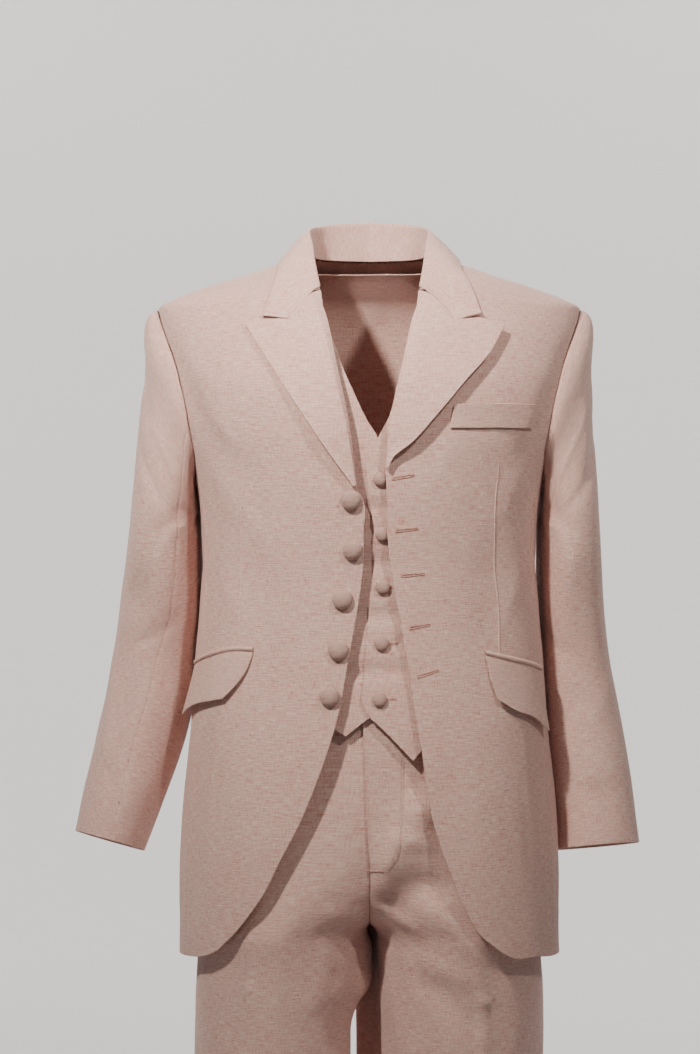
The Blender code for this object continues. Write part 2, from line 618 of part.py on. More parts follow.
for side in (-1, 1):
    word = SIDE_NAME[side]
    front_corner = armhole(ARMHOLE_SIDE_ANGLE, side)
    back_corner = armhole(-ARMHOLE_SIDE_ANGLE, side)
    front_seam = seam_line(FRONT_SIDE_SEAM, side, front_corner)
    back_seam = seam_line(BACK_SIDE_SEAM, side, back_corner)
    front_seam[0, 1] = smooth(HEM_LINE, 1, abs(front_seam[0, 0]))
    back_seam[0, 1] = smooth(HEM_LINE, 1, abs(back_seam[0, 0]))
    # Front: front edge and roll line on one side, side seam and armhole on the other.
    edge_rows = rounded(JACKET.seen(EDGE[side]), SEAM_ROWS)
    cut_roll = np.asarray(ROLL[side], float) + (side * ROLL_CUT, 0.0)
    cut_roll[0] = EDGE[side][-1]
    roll_rows = rounded(JACKET.seen(cut_roll), ARMHOLE_ROWS)
    roll_rows[-1] = (side * abs(roll_rows[-1, 0]), NECK_RUN)
    inner_line = join(edge_rows, roll_rows)
    outer_line = join(front_seam, armhole(FRONT_STATIONS, side))
    angles = abs(edge_rows[0, 0]), abs(front_seam[0, 0])
    bottom = hem_places(*angles, FRONT_COLUMNS, side, edge_rows[0, 1])
    neck = resample((roll_rows[-1], (side * 90.0, NECK_RUN)), FRONT_COLUMNS - SHOULDER_COLUMNS)
    shoulder = resample(((side * 90.0, NECK_RUN), outer_line[-1]), SHOULDER_COLUMNS)
    top = join(neck, shoulder)
    panel("jacket_front_" + word, JACKET, fill(inner_line, outer_line, bottom, top))
    # Side panel under the arm.
    bottom = hem_places(abs(front_seam[0, 0]), abs(back_seam[0, 0]), SIDE_COLUMNS, side)
    top = armhole(UNDER_STATIONS[::-1], side)
    panel("jacket_side_" + word, JACKET, fill(front_seam, back_seam, bottom, top))
    # Back: centre seam on one side, side seam and armhole on the other.
    outer_line = join(back_seam, armhole(-FRONT_STATIONS, side))
    bottom = hem_places(abs(back_seam[0, 0]), 180.0, BACK_COLUMNS, side)
    nape = (side * 180.0, NECK_RUN)
    centre_rows = resample(((side * 180.0, bottom[-1, 1]), nape), SEAM_ROWS + ARMHOLE_ROWS)
    shoulder = resample((outer_line[-1], (side * 90.0, NECK_RUN)), SHOULDER_COLUMNS)
    neck = resample(((side * 90.0, NECK_RUN), (side * 180.0, NECK_RUN)), BACK_COLUMNS - SHOULDER_COLUMNS)
    panel("jacket_back_" + word, JACKET, fill(outer_line, centre_rows, bottom, join(shoulder, neck)))

# Sleeves: an open tube from the armhole through tilted rings to the cuff.


def hermite(p0, p1, t0, t1, t):
    """Cubic between two points with given end tangents."""
    return ((2 * t**3 - 3 * t**2 + 1) * p0 + (t**3 - 2 * t**2 + t) * t0
            + (3 * t**2 - 2 * t**3) * p1 + (t**3 - t**2) * t1)


class Sleeve:
    """Places are alpha round the sleeve, 0 inside and 90 in front, and a share of its length."""

    def __init__(self, side):
        self.side = side
        rows = np.asarray(SLEEVE_RINGS[side], float)
        middle = np.stack((side * (rows[:, 1] + rows[:, 2]) / 2, rows[:, 3], rows[:, 0]), -1)
        self.middle = middle
        self.half = np.stack(((rows[:, 1] - rows[:, 2]) / 2, rows[:, 4]), -1)
        along = np.gradient(middle, axis=0)
        self.along = unit(along)
        cross = np.array((side, 0.0, 0.0)) - self.along * (self.along[:, :1] * side)
        self.out = unit(cross)
        deep = np.cross(self.along, self.out) * side
        self.deep = deep * np.sign(deep[:, 1:2])

    def ring(self, k, alpha):
        share = (k + 1) / len(self.middle)
        swing = SEAM_SWINGS[self.side][k] * np.exp(-(((alpha - SLEEVE_SEAM_ANGLE) / 60.0) ** 2))
        turn = np.radians(alpha + swing)[..., None]
        wide, deep = self.half[k]
        return (self.middle[k] - power(np.cos(turn), 0.93) * wide * self.out[k]
                - power(np.sin(turn), 0.93) * deep * self.deep[k])

    def bare(self, alpha, share):
        place = armhole(alpha, self.side)
        start = JACKET.at(place, SLEEVE_SIT)
        normal = JACKET.outward(place[..., 0], place[..., 1])
        first = self.ring(0, alpha)
        lean = ((1 - np.cos(np.radians(alpha))) / 2)[..., None]
        cap = start + (first - start) * CAP_SHARE
        cap = cap + np.array((self.side, 0.0, 0.0)) * CAP_BULGE * np.sqrt(lean)
        points = [start, cap] + [self.ring(k, alpha) for k in range(len(self.middle))]
        span = np.linalg.norm(first - start, axis=-1, keepdims=True)
        outward = np.array((self.side, 0.0, 0.0))
        way = unit(normal * (1 - 0.65 * lean) + outward * 0.65 * lean)
        tangents = [way * (0.010 + 0.060 * lean) + (first - start) * 0.12]
        tangents.append((points[2] - points[0]) * 0.42)
        for k in range(2, len(points) - 1):
            tangents.append((points[k + 1] - points[k - 1]) / 2)
        tangents.append(points[-1] - points[-2])
        knots = np.array([0.0, 0.13, 0.38] + list(np.linspace(0.38, 1.0, len(self.middle))[1:]))
        piece = np.clip(np.searchsorted(knots, share, side="right") - 1, 0, len(knots) - 2)
        out = np.zeros(np.broadcast(alpha, share).shape + (3,))
        for k in range(len(knots) - 1):
            t = ((share - knots[k]) / (knots[k + 1] - knots[k]))[..., None]
            t1 = tangents[k + 1]
            if k == 1:
                t1 = unit(points[3] - points[1]) * span * (1 - CAP_SHARE)
            value = hermite(points[k], points[k + 1], tangents[k], t1, t)
            out = np.where((piece == k)[..., None], value, out)
        return out

    def at(self, place, lift=0.0):
        alpha, share = place[..., 0], place[..., 1]
        da, ds = 1.5, 0.004
        low = np.clip(share - ds, 0, 1)
        high = np.clip(share + ds, 0, 1)
        round_way = self.bare(alpha + da, share) - self.bare(alpha - da, share)
        down_way = self.bare(alpha, high) - self.bare(alpha, low)
        out = unit(np.cross(down_way, round_way)) * self.side
        turned = (alpha + 180.0) % 360.0 - 180.0
        turned = np.where(turned < -175.0, turned + 360.0, turned)
        fold = np.zeros(turned.shape)
        for a0, s0, a1, s1, height, width in SLEEVE_FOLDS[self.side]:
            dx, dy = (a1 - a0) * SLEEVE_ARC, (s1 - s0) * SLEEVE_LENGTH
            px, py = (turned - a0) * SLEEVE_ARC, (share - s0) * SLEEVE_LENGTH
            inside = np.clip((px * dx + py * dy) / (dx * dx + dy * dy), 0, 1)
            away = np.hypot(px - inside * dx, py - inside * dy)
            fold = fold + height * np.exp(-((away / width) ** 2))
        fold = fold * np.clip(share / 0.06, 0, 1) * (0.35 + 0.65 * np.clip((1 - share) / 0.10, 0, 1))
        return self.bare(alpha, share) + out * (fold + lift)[..., None]


def sleeve_places(stations):
    """Grid of sleeve places with closer rows near the shoulder."""
    share = np.linspace(0, 1, SLEEVE_ROWS + 1) ** 1.5
    alpha, share = np.meshgrid(stations, share[::-1])
    return np.stack((alpha, share), -1)


FRONT_TO_TOP = np.array([a for a in FRONT_STATIONS if a >= SLEEVE_SEAM_ANGLE - 0.01])
UPPER_STATIONS = np.concatenate((FRONT_TO_TOP, 360.0 - FRONT_TO_TOP[::-1][1:]))
INNER_STATIONS = np.concatenate(([-SLEEVE_SEAM_ANGLE], UNDER_STATIONS, [SLEEVE_SEAM_ANGLE]))

for side in (-1, 1):
    word = SIDE_NAME[side]
    tube = Sleeve(side)
    for label, stations in (("upper", UPPER_STATIONS), ("under", INNER_STATIONS)):
        places = sleeve_places(stations)
        outer = tube.at(places, 0.0)
        inner = tube.at(places, -WALL)
        sheet(f"jacket_sleeve_{label}_{word}", outer, inner, "lr")

# Lapels: folded over at the roll line and laid on the fronts.


def gorge_places(side, shares):
    """Top edge of a lapel: the gorge seam for the first half of the shares, the notch for the rest."""
    across = join(resample(JACKET.seen(GORGE[side]), 20), resample(JACKET.seen(NOTCH[side]), 20))
    return np.stack([np.interp(shares, np.linspace(0, 1, 41), across[:, k]) for k in (0, 1)], -1)


def lapel_places(side, rows, shares):
    """Lapel places; rows run from the break of the roll line up to the gorge."""
    roll = rounded(JACKET.seen(ROLL[side][:-2]), 60)
    keep = roll[:, 1] <= JACKET.run_of(GORGE[side][0][1])
    roll = resample(roll[keep], rows)
    outer = rounded(JACKET.seen(LAPEL_EDGE[side]), rows)
    top = gorge_places(side, shares)
    roll[-1], outer[-1] = top[0], top[-1]
    shares = np.asarray(shares)
    start = roll[0] + (0.0, 0.003)
    bottom = start + shares[:, None] * np.array((side * 0.7, 0.0))
    roll[0], outer[0] = bottom[0], bottom[-1]
    v = np.linspace(0, 1, rows + 1)[:, None, None]
    u = shares[None, :, None]
    flat = (1 - u) * roll[:, None] + u * outer[:, None] + (1 - v) * bottom[None] + v * top[None]
    flat = flat - (1 - u) * (1 - v) * roll[0] - u * (1 - v) * outer[0]
    return flat - (1 - u) * v * roll[-1] - u * v * outer[-1]


def lapel_lift(side, rows, shares):
    """Height of a lapel above its front: a soft roll, lower where the lapel starts."""
    lift = np.interp(shares, LAPEL_SHARES, LAPEL_LIFTS[side])[None, :] * np.ones((rows + 1, 1))
    v = np.linspace(0, 1, rows + 1)[:, None]
    low = 0.0028 + 0.0012 * np.asarray(shares)[None, :]
    near = np.exp(-v / 0.15)
    return lift * (1 - near) + low * near


for side in (-1, 1):
    word = SIDE_NAME[side]
    panel("jacket_lapel_" + word, JACKET, lapel_places(side, LAPEL_ROWS, LAPEL_SHARES),
          lapel_lift(side, LAPEL_ROWS, LAPEL_SHARES), THIN_WALL, "t", pull=0.0006)

# Collar: stand inside, crest, fall outside. Rows from the notch round to the centre back.


def collar_half(side, rows):
    """Grid of one half of the collar from its notch to the centre back."""
    table = np.asarray(COLLAR_ROWS)
    key = table[:, 0]
    crest = table[:, 1:4] * (side, 1.0, 1.0)
    base = table[:, 4:7] * (side, 1.0, 1.0)
    outer = np.concatenate((JACKET.seen(COLLAR_OUTER[side]), mirrored(COLLAR_BACK, side)))
    edge = JACKET.at(outer, np.full(len(outer), COLLAR_LIFT))
    corner = JACKET.at(JACKET.seen([GORGE[side][-1]]), np.array([COLLAR_LIFT + 0.001]))[0]
    middle = crest * 0.42 + edge * 0.58
    middle[1:, 2] += 0.003
    middle[0] = corner
    at = np.linspace(0, 1, rows + 1)
    lines = []
    for points in (base, crest, middle, edge):
        rows_of = np.column_stack((key, points))
        lines.append(np.stack([smooth(rows_of, k + 1, at) for k in range(3)], -1))
    base, crest, middle, edge = lines
    puff = np.array((0.0, 0.0, 0.0014))
    grid = np.stack((base, base * 0.45 + crest * 0.55 + unit(base - edge) * 0.001, crest,
                     crest * 0.62 + middle * 0.38 + puff, crest * 0.25 + middle * 0.75 + puff * 0.4, middle,
                     middle * 0.5 + edge * 0.5 + puff * 0.3, edge), 1)
    shares = COLLAR_SHARES[:6]
    places = gorge_places(side, shares)
    tip = JACKET.seen([COLLAR_OUTER[side][0]])
    places = np.concatenate((places, (places[-1:] + tip) / 2, tip))
    lift = np.interp(COLLAR_SHARES, LAPEL_SHARES, LAPEL_LIFTS[side])
    grid[0] = JACKET.at(places, lift)
    return grid


right_half = collar_half(-1, COLLAR_HALF_ROWS)
left_half = collar_half(1, COLLAR_HALF_ROWS)
collar_grid = np.concatenate((right_half, left_half[::-1][1:]))
over = np.cross(np.gradient(collar_grid, axis=1), np.gradient(collar_grid, axis=0))
over = unit(over)
over = over * np.sign(over[COLLAR_HALF_ROWS, 4, 2])
sheet("jacket_collar", collar_grid, collar_grid - over * THIN_WALL, "bt", 0.0005)

# Hip pockets: a narrow piping over each flap. Points are x and height seen from the front.

for side in (-1, 1):
    word = SIDE_NAME[side]
    top = rounded(JACKET.seen(FLAP_TOP[side]), FLAP_COLUMNS)
    foot = rounded(JACKET.seen(FLAP_FOOT[side]), FLAP_COLUMNS)
    near = resample((foot[0], top[0]), FLAP_ROWS)
    near[1:-1, 0] -= side * np.array(FLAP_BOW[side])
    far = resample((foot[-1], top[-1]), FLAP_ROWS)
    places = fill(near, far, foot, top)
    down = np.linspace(1, 0, FLAP_ROWS + 1)[:, None] ** 1.3
    across = np.linspace(0, 1, FLAP_COLUMNS + 1)[None, :]
    seat, low, tip = FLAP_LIFT[side]
    lift = seat + down * (low - seat + (tip - low) * across**1.5)
    panel("jacket_flap_" + word, JACKET, places, lift, THIN_WALL)
    rise = resample(((0.0, 0.0), (0.0, PIPING_HEIGHT)), 1)
    strip = top[None] + rise[:, None] + (0.0, 0.0006)
    panel("jacket_piping_" + word, JACKET, strip, LAY_GAP + PIPING_WALL, PIPING_WALL)

# Breast pocket welt on the wearer's left.
top = resample(JACKET.seen(WELT_TOP), 6)
foot = resample(JACKET.seen(WELT_FOOT), 6)
places = fill(resample((foot[0], top[0]), 2), resample((foot[-1], top[-1]), 2), foot, top)
panel("jacket_welt", JACKET, places, WELT_LIFT + THIN_WALL, THIN_WALL)

# Covered buttons down the wearer's right front edge.
for number, spot in enumerate(JACKET_BUTTONS, 1):
    place = JACKET.seen([spot])[0]
    dome(f"jacket_button_{number}", JACKET, place, *JACKET_BUTTON, 0.0, **BUTTON_LOOK)

# Waistcoat, worn under the jacket.
WAISTCOAT = Trunk(JACKET_RINGS, (), 0.0130)

for side in (-1, 1):
    word = SIDE_NAME[side]
    over = OVERLAP_LIFT if side == 1 else 0.0
    edge_rows = resample(WAISTCOAT.seen(WAISTCOAT_EDGE[side][1:]), W_ROWS_LOW)
    neck_rows = rounded(WAISTCOAT.seen(WAISTCOAT_NECK[side]), W_ROWS_HIGH)
    neck_rows[-1] = (side * 90.0, WAISTCOAT_NECK_RUN)
    inner_line = join(edge_rows, neck_rows)
    seam_ends = (side * 90.0, WAISTCOAT_SIDE_FOOT), (side * 90.0, WAISTCOAT_UNDERARM)
    side_seam = resample(seam_ends, W_ROWS_LOW)
    arm_rows = rounded(mirrored(WAISTCOAT_ARMHOLE, side), W_ROWS_HIGH)
    outer_line = join(side_seam, arm_rows)
    point = WAISTCOAT.seen([WAISTCOAT_EDGE[side][0]])[0]
    hem = np.vstack((WAISTCOAT.seen(WAISTCOAT_HEM[side]), side_seam[:1]))
    low_line = join(resample((edge_rows[0], point), 2), rounded(hem, W_COLUMNS - 2))
    shoulder = resample(((side * 90.0, WAISTCOAT_NECK_RUN), (side * 90.0, WAISTCOAT_TIP_RUN)), W_COLUMNS)
    places = fill(inner_line, outer_line, low_line, shoulder)
    lift = over * (1 - np.clip((np.abs(places[..., 0]) - 12.0) / 30.0, 0, 1))
    panel("waistcoat_front_" + word, WAISTCOAT, places, lift, THIN_WALL)

half = rounded(np.array(WAISTCOAT_ARMHOLE) * (-1, 1) + (180.0, 0.0), W_ROWS_HIGH)
side_seam = resample(((90.0, WAISTCOAT_SIDE_FOOT), (90.0, WAISTCOAT_UNDERARM)), W_ROWS_LOW)
left_line = join(side_seam, half)
right_line = left_line * (-1, 1) + (360.0, 0.0)
foot_angle = np.linspace(90.0, 270.0, 13)
bottom = np.stack((foot_angle, WAISTCOAT_SIDE_FOOT + 0.006 * np.sin(np.radians(foot_angle - 90))), -1)
shoulder = resample((left_line[-1], (90.0, WAISTCOAT_NECK_RUN)), 3)
neck = resample(((90.0, WAISTCOAT_NECK_RUN), (270.0, WAISTCOAT_NECK_RUN)), 6)
top = join(shoulder, neck, shoulder[::-1] * (-1, 1) + (360.0, 0.0))
panel("waistcoat_back", WAISTCOAT, fill(left_line, right_line, bottom, top), 0.0, THIN_WALL)

for number, spot in enumerate(WAISTCOAT_BUTTONS, 1):
    place = WAISTCOAT.seen([spot])[0]
    lift = OVERLAP_LIFT + LAY_GAP
    dome(f"waistcoat_button_{number}", WAISTCOAT, place, *WAISTCOAT_BUTTON, lift, **BUTTON_LOOK)

# Trousers: each leg is a ring whose inner side runs into the centre line above the crotch.


class Leg:
    """One trouser leg; places are an angle from its front, positive outward, and a height."""

    def __init__(self, side):
        self.side = side

    def inner_angle(self, height):
        """Angle of the inner edge in front, as a positive number of degrees."""
        wide, middle = (smooth(TROUSER_RINGS, k, height) for k in (1, 2))
        share = np.clip(middle / (wide - middle), 0, 1)
        angle = np.degrees(np.arcsin(share ** (ROUNDNESS / 2)))
        return np.where(height <= TROUSER_CROTCH, 90.0, angle)

    def bare(self, angle, height):
        wide, middle, front, back, y = (smooth(TROUSER_RINGS, k, height) for k in (1, 2, 3, 4, 5))
        turn = np.radians(angle)
        cosine = np.cos(turn)
        depth = np.where(cosine > 0, front, back)
        x = middle + (wide - middle) * power(np.sin(turn), 2 / ROUNDNESS)
        x = x + smooth(INNER_SWING[self.side], 1, height) * np.clip(-np.sin(turn), 0, 1) ** 2
        past = (angle + 180.0) % 360.0 - 180.0 - BACK_FOLD_ANGLE
        breadth = np.where(past > 0, *BACK_FOLD_BREADTH)
        x = x - smooth(BACK_FOLD[self.side], 1, height) * np.exp(-((past / breadth) ** 2))
        crease = smooth(CREASE_ROWS, 1, height)
        ridge = np.exp(-np.abs(angle) / CREASE_WIDTH) + np.exp(-np.abs(angle - 180.0) / CREASE_WIDTH)
        depth = depth - crease * 0.5 + crease * ridge
        y = y - depth * power(cosine, 2 / ROUNDNESS)
        return np.stack(np.broadcast_arrays(self.side * x, y, height), -1)

    def at(self, place, lift=0.0):
        angle, height = place[..., 0], place[..., 1]
        da, dh = 3.0, 0.004
        round_way = self.bare(angle + da, height) - self.bare(angle - da, height)
        up_way = self.bare(angle, height + dh) - self.bare(angle, height - dh)
        out = unit(np.cross(round_way, up_way)) * self.side
        fold = np.zeros(np.broadcast(angle, height).shape)
        for a0, h0, a1, h1, rise, width in TROUSER_FOLDS[self.side]:
            dx, dy = (a1 - a0) * LEG_ARC, h1 - h0
            px, py = (angle - a0) * LEG_ARC, height - h0
            inside = np.clip((px * dx + py * dy) / (dx * dx + dy * dy), 0, 1)
            away = np.hypot(px - inside * dx, py - inside * dy)
            fold = fold + rise * np.exp(-((away / width) ** 2))
        edge = self.inner_angle(height)
        inner = np.minimum(np.abs(angle + edge), np.abs(180 + edge - angle))
        fold = fold * np.clip(inner / 8.0, 0, 1)
        return self.bare(angle, height) + out * (fold + lift)[..., None]


LEG_HEIGHTS = np.array(LEG_ROW_HEIGHTS)

for side in (-1, 1):
    word = SIDE_NAME[side]
    leg = Leg(side)
    inner = leg.inner_angle(LEG_HEIGHTS)
    for label, first, last in (("front", -inner, 90.0), ("back", 90.0, 180.0 + inner)):
        first = np.broadcast_to(first, LEG_HEIGHTS.shape)[:, None]
        last = np.broadcast_to(last, LEG_HEIGHTS.shape)[:, None]
        angle = first + (last - first) * np.linspace(0, 1, LEG_COLUMNS + 1)[None, :]
        places = np.stack((angle, LEG_HEIGHTS[:, None] * np.ones_like(angle)), -1)
        grid = leg.at(places, 0.0)
        back_grid = leg.at(places, -WALL)
        rows = LEG_HEIGHTS >= TROUSER_CROTCH
        edge = 0 if label == "front" else -1
        for one in (grid, back_grid):
            one[rows, edge, 0] = 0.0
        sheet(f"trousers_{label}_{word}", grid, back_grid, "lrt")

# Waistband: one band round the waist with its ends meeting at the fly.
wide, front, back = (smooth(TROUSER_RINGS, k, TROUSER_TOP) for k in (1, 3, 4))


def band_point(angle, height, lift):
    """Point of the waistband; angle 0 is the front."""
    turn = np.radians(angle)
    depth = np.where(np.cos(turn) > 0, front, back) + lift
    lean = (height - TROUSER_TOP) * 0.08
    x = (wide + lift - lean) * power(np.sin(turn), 2 / ROUNDNESS)
    y = -(depth - lean) * power(np.cos(turn), 2 / ROUNDNESS)
    return np.stack(np.broadcast_arrays(x, y, height), -1)


angle = np.linspace(0.0, 360.0, 37)[None, :] * np.ones((2, 1))
height = np.array([TROUSER_TOP + 0.0006, BAND_TOP])[:, None] * np.ones_like(angle)
sheet("trousers_waistband", band_point(angle, height, 0.0), band_point(angle, height, -WALL), "lr")

# Fly: laid on the wearer's left front, rounded off at its foot.
leg = Leg(1)
rows = []
for height, near, far in FLY_ROWS:
    wide, middle = (smooth(TROUSER_RINGS, k, height) for k in (1, 2))
    x = np.linspace(near, far, 5)
    share = (x - middle) / (wide - middle)
    rows.append(np.stack((np.degrees(np.arcsin(power(share, ROUNDNESS / 2))), np.full(5, height)), -1))
places = np.stack(rows)
sheet("trousers_fly", leg.at(places, FLY_LIFT + FLY_WALL), leg.at(places, FLY_LIFT))
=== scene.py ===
"""Looks of the three-piece suit: every cut piece as a thin, softly creased shell of linen, and its sewing.

Units are metres in the part's own frame: +Z is up and the front of the suit faces -Y. Heights in the tables
of the suit are measured up from the wearer's soles, and HELD_HEIGHT is taken off when a mesh is made.
"""
import math

import bpy
import numpy as np
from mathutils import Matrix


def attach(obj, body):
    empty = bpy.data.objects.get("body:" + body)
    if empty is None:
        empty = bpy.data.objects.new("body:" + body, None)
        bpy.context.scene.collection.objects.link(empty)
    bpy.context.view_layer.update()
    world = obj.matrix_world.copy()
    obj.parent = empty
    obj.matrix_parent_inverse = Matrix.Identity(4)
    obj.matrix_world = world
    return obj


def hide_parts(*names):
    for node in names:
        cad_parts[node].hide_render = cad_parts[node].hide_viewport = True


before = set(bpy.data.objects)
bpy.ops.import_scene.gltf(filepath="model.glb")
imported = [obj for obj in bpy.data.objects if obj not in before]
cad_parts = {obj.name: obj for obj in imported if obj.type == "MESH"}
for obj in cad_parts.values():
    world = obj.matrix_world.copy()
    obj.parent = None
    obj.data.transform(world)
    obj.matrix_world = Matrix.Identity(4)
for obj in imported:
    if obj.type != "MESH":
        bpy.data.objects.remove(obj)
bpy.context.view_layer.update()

# Camera: level with the waist of the jacket, as the photo was taken. The photo is 700 by 1054.
CAMERA_PLACE = (-0.021, -2.600, -0.293)
PHOTO_HEIGHT = 1054
PHOTO_FOCAL_LENGTH = 2351
SENSOR = 36.0

camera_data = bpy.data.cameras.new("camera")
camera_data.sensor_fit = "AUTO"
camera_data.sensor_width = SENSOR
camera_data.lens = SENSOR * PHOTO_FOCAL_LENGTH / PHOTO_HEIGHT
camera = bpy.data.objects.new("camera", camera_data)
camera.location = CAMERA_PLACE
camera.rotation_euler = (math.radians(90), 0, 0)
bpy.context.scene.collection.objects.link(camera)
bpy.context.scene.camera = camera

# Sizes of the garment, the same as in the solids. Side -1 is the wearer's right, at -X, and 1 the left.
HELD_HEIGHT = 1.5
THIN_WALL = 0.0014
LAY_GAP = 0.0003
ROUNDNESS = 2.2
ARC_PER_DEGREE = 0.003
SIDE_NAME = {-1: "right", 1: "left"}
FORWARD = np.array((0.0, -1.0, 0.0))

# Jacket rings: run, height, half width, front depth, back depth. The run is the distance along the cloth
# from the floor up the side and over the shoulder.
JACKET_RINGS = (
    (0.7, 0.7, 0.2105, 0.15, 0.134), (0.77, 0.77, 0.209, 0.15, 0.135), (0.84, 0.84, 0.207, 0.15, 0.138),
    (0.92, 0.92, 0.2025, 0.149, 0.139), (0.98, 0.98, 0.197, 0.147, 0.131),
    (1.05, 1.05, 0.1925, 0.142, 0.114), (1.12, 1.12, 0.1865, 0.139, 0.105),
    (1.165, 1.165, 0.184, 0.14, 0.107), (1.2, 1.2, 0.1845, 0.143, 0.112),
    (1.26, 1.26, 0.1925, 0.147, 0.121), (1.32, 1.32, 0.212, 0.146, 0.127),
    (1.36, 1.36, 0.2215, 0.139, 0.128), (1.4, 1.397, 0.228, 0.123, 0.125),
    (1.44, 1.43, 0.2325, 0.107, 0.119), (1.465, 1.447, 0.233, 0.097, 0.114),
    (1.483, 1.457, 0.217, 0.091, 0.11), (1.505, 1.465, 0.1975, 0.085, 0.106),
    (1.53, 1.473, 0.172, 0.077, 0.1), (1.555, 1.481, 0.145, 0.067, 0.092), (1.58, 1.49, 0.12, 0.056, 0.083),
    (1.6, 1.498, 0.097, 0.047, 0.075), (1.622, 1.509, 0.0715, 0.037, 0.063),
)
NECK_RUN = 1.619

# Folds: angle from, run from, angle to, run to, height (below zero for a trough), half width.
JACKET_FOLDS = (
    (-40, 1.255, -42, 1.1, -0.002, 0.022), (40, 1.255, 42, 1.1, -0.002, 0.022),
    (-60, 1.27, -30, 1.18, 0.0018, 0.02), (62, 1.28, 36, 1.19, 0.0018, 0.022),
    (-66, 1.395, -52, 1.29, -0.0035, 0.018), (66, 1.395, 54, 1.29, -0.003, 0.018),
    (-34, 0.99, -40, 0.78, 0.0035, 0.03), (34, 0.99, 40, 0.78, 0.003, 0.03),
    (-64, 1, -66, 0.76, -0.003, 0.024), (62, 1.01, 64, 0.77, -0.0035, 0.024),
    (-150, 1.01, -148, 0.77, 0.003, 0.03), (152, 1.02, 149, 0.78, 0.003, 0.03),
    (-168, 1.15, -128, 1.12, -0.0025, 0.018), (166, 1.16, 130, 1.125, -0.0025, 0.018),
    (-125, 1.39, -137, 1.27, -0.003, 0.02), (126, 1.395, 138, 1.275, -0.003, 0.02),
    (-38, 1.262, -39, 1.215, -0.0012, 0.008), (-24, 1.3, -18, 1.245, 0.001, 0.01),
    (25, 1.31, 19, 1.25, 0.0011, 0.01), (-52, 1.33, -44, 1.3, 0.0012, 0.009),
    (54, 1.335, 47, 1.3, 0.0012, 0.01), (-58, 1.15, -42, 1.105, 0.0011, 0.011),
    (60, 1.155, 45, 1.1, 0.0013, 0.012), (-50, 0.96, -54, 0.85, -0.0016, 0.012),
    (-28, 0.9, -34, 0.8, 0.0014, 0.013), (27, 0.91, 33, 0.8, 0.0015, 0.014),
    (51, 0.95, 56, 0.83, -0.0018, 0.012), (-80, 1.18, -96, 1.14, -0.0014, 0.01),
    (82, 1.175, 98, 1.135, -0.0015, 0.01), (-84, 0.96, -86, 0.8, 0.0022, 0.014),
    (86, 0.97, 84, 0.79, 0.0022, 0.015), (-146, 1.13, -118, 1.105, 0.0015, 0.009),
    (148, 1.135, 122, 1.1, 0.0016, 0.01), (-172, 1.19, -140, 1.17, -0.0013, 0.01),
    (170, 1.2, 142, 1.178, -0.0014, 0.01), (-140, 1.36, -152, 1.27, -0.0014, 0.012),
    (142, 1.365, 153, 1.28, -0.0014, 0.012), (-160, 0.96, -158, 0.78, -0.0018, 0.014),
    (164, 0.97, 161, 0.78, -0.0017, 0.013), (-20, 1.47, -48, 1.44, -0.001, 0.012),
    (22, 1.468, 50, 1.436, -0.0011, 0.012),
)
WAISTCOAT_CREASES = (
    (10, 1.228, -14, 1.222, -0.003, 0.007), (9, 1.17, -12, 1.166, -0.0034, 0.007),
    (12, 1.115, -14, 1.112, -0.0036, 0.008), (12, 1.058, -16, 1.052, -0.0036, 0.008),
    (3, 1.208, -9, 1.196, -0.0022, 0.005), (-2, 1.148, -10, 1.14, 0.0018, 0.006),
    (14, 1.092, 4, 1.08, -0.0024, 0.006), (20, 1.09, 34, 1.05, 0.0016, 0.01),
    (14, 1.03, 22, 0.99, -0.0014, 0.007), (-22, 1.1, -40, 1.06, 0.0016, 0.01),
    (150, 1.12, 205, 1.112, -0.0018, 0.01), (140, 1.085, 170, 1.078, 0.0016, 0.009),
    (190, 1.088, 222, 1.08, 0.0016, 0.009),
)

# Edges seen from the front, as x and height.
EDGE = {
    -1: (
        (-0.1602, 0.7587), (-0.1414, 0.7792), (-0.1274, 0.7973), (-0.1135, 0.8177), (-0.0943, 0.857),
        (-0.0733, 0.8981), (-0.0599, 0.9303), (-0.0466, 0.9664), (-0.0304, 1.0241), (-0.0241, 1.0616),
        (-0.014, 1.1173), (-0.0077, 1.163), (-0.0069, 1.2039), (-0.0072, 1.234), (-0.0137, 1.2456),
    ),
    1: (
        (0.1344, 0.7617), (0.1156, 0.7785), (0.1017, 0.802), (0.0868, 0.8389), (0.0721, 0.8794),
        (0.0613, 0.9223), (0.0547, 0.9729), (0.0468, 1.0187), (0.0406, 1.0615), (0.0314, 1.1122),
        (0.0251, 1.1452), (0.0187, 1.1986), (0.018, 1.2394), (0.0166, 1.2644),
    ),
}
ROLL = {
    -1: (
        (-0.0137, 1.2456), (-0.0227, 1.3208), (-0.0357, 1.3826), (-0.048, 1.437), (-0.0552, 1.462),
        (-0.061, 1.483), (-0.067, 1.506),
    ),
    1: (
        (0.0166, 1.2644), (0.0176, 1.3098), (0.0236, 1.3362), (0.0358, 1.388), (0.0481, 1.4366),
        (0.0552, 1.462), (0.0615, 1.483), (0.0672, 1.506),
    ),
}
LAPEL_EDGE = {
    -1: (
        (-0.0137, 1.2456), (-0.0419, 1.2846), (-0.0653, 1.319), (-0.0957, 1.3644), (-0.1219, 1.4057),
        (-0.1322, 1.4225),
    ),
    1: (
        (0.0166, 1.2644), (0.0225, 1.279), (0.0417, 1.2948), (0.0671, 1.3228), (0.0957, 1.3563),
        (0.122, 1.3849), (0.1405, 1.4185),
    ),
}
GORGE = {
    -1: ((-0.0552, 1.46), (-0.0711, 1.4424), (-0.0865, 1.4257)),
    1: ((0.0552, 1.46), (0.0717, 1.4425), (0.0892, 1.4237)),
}
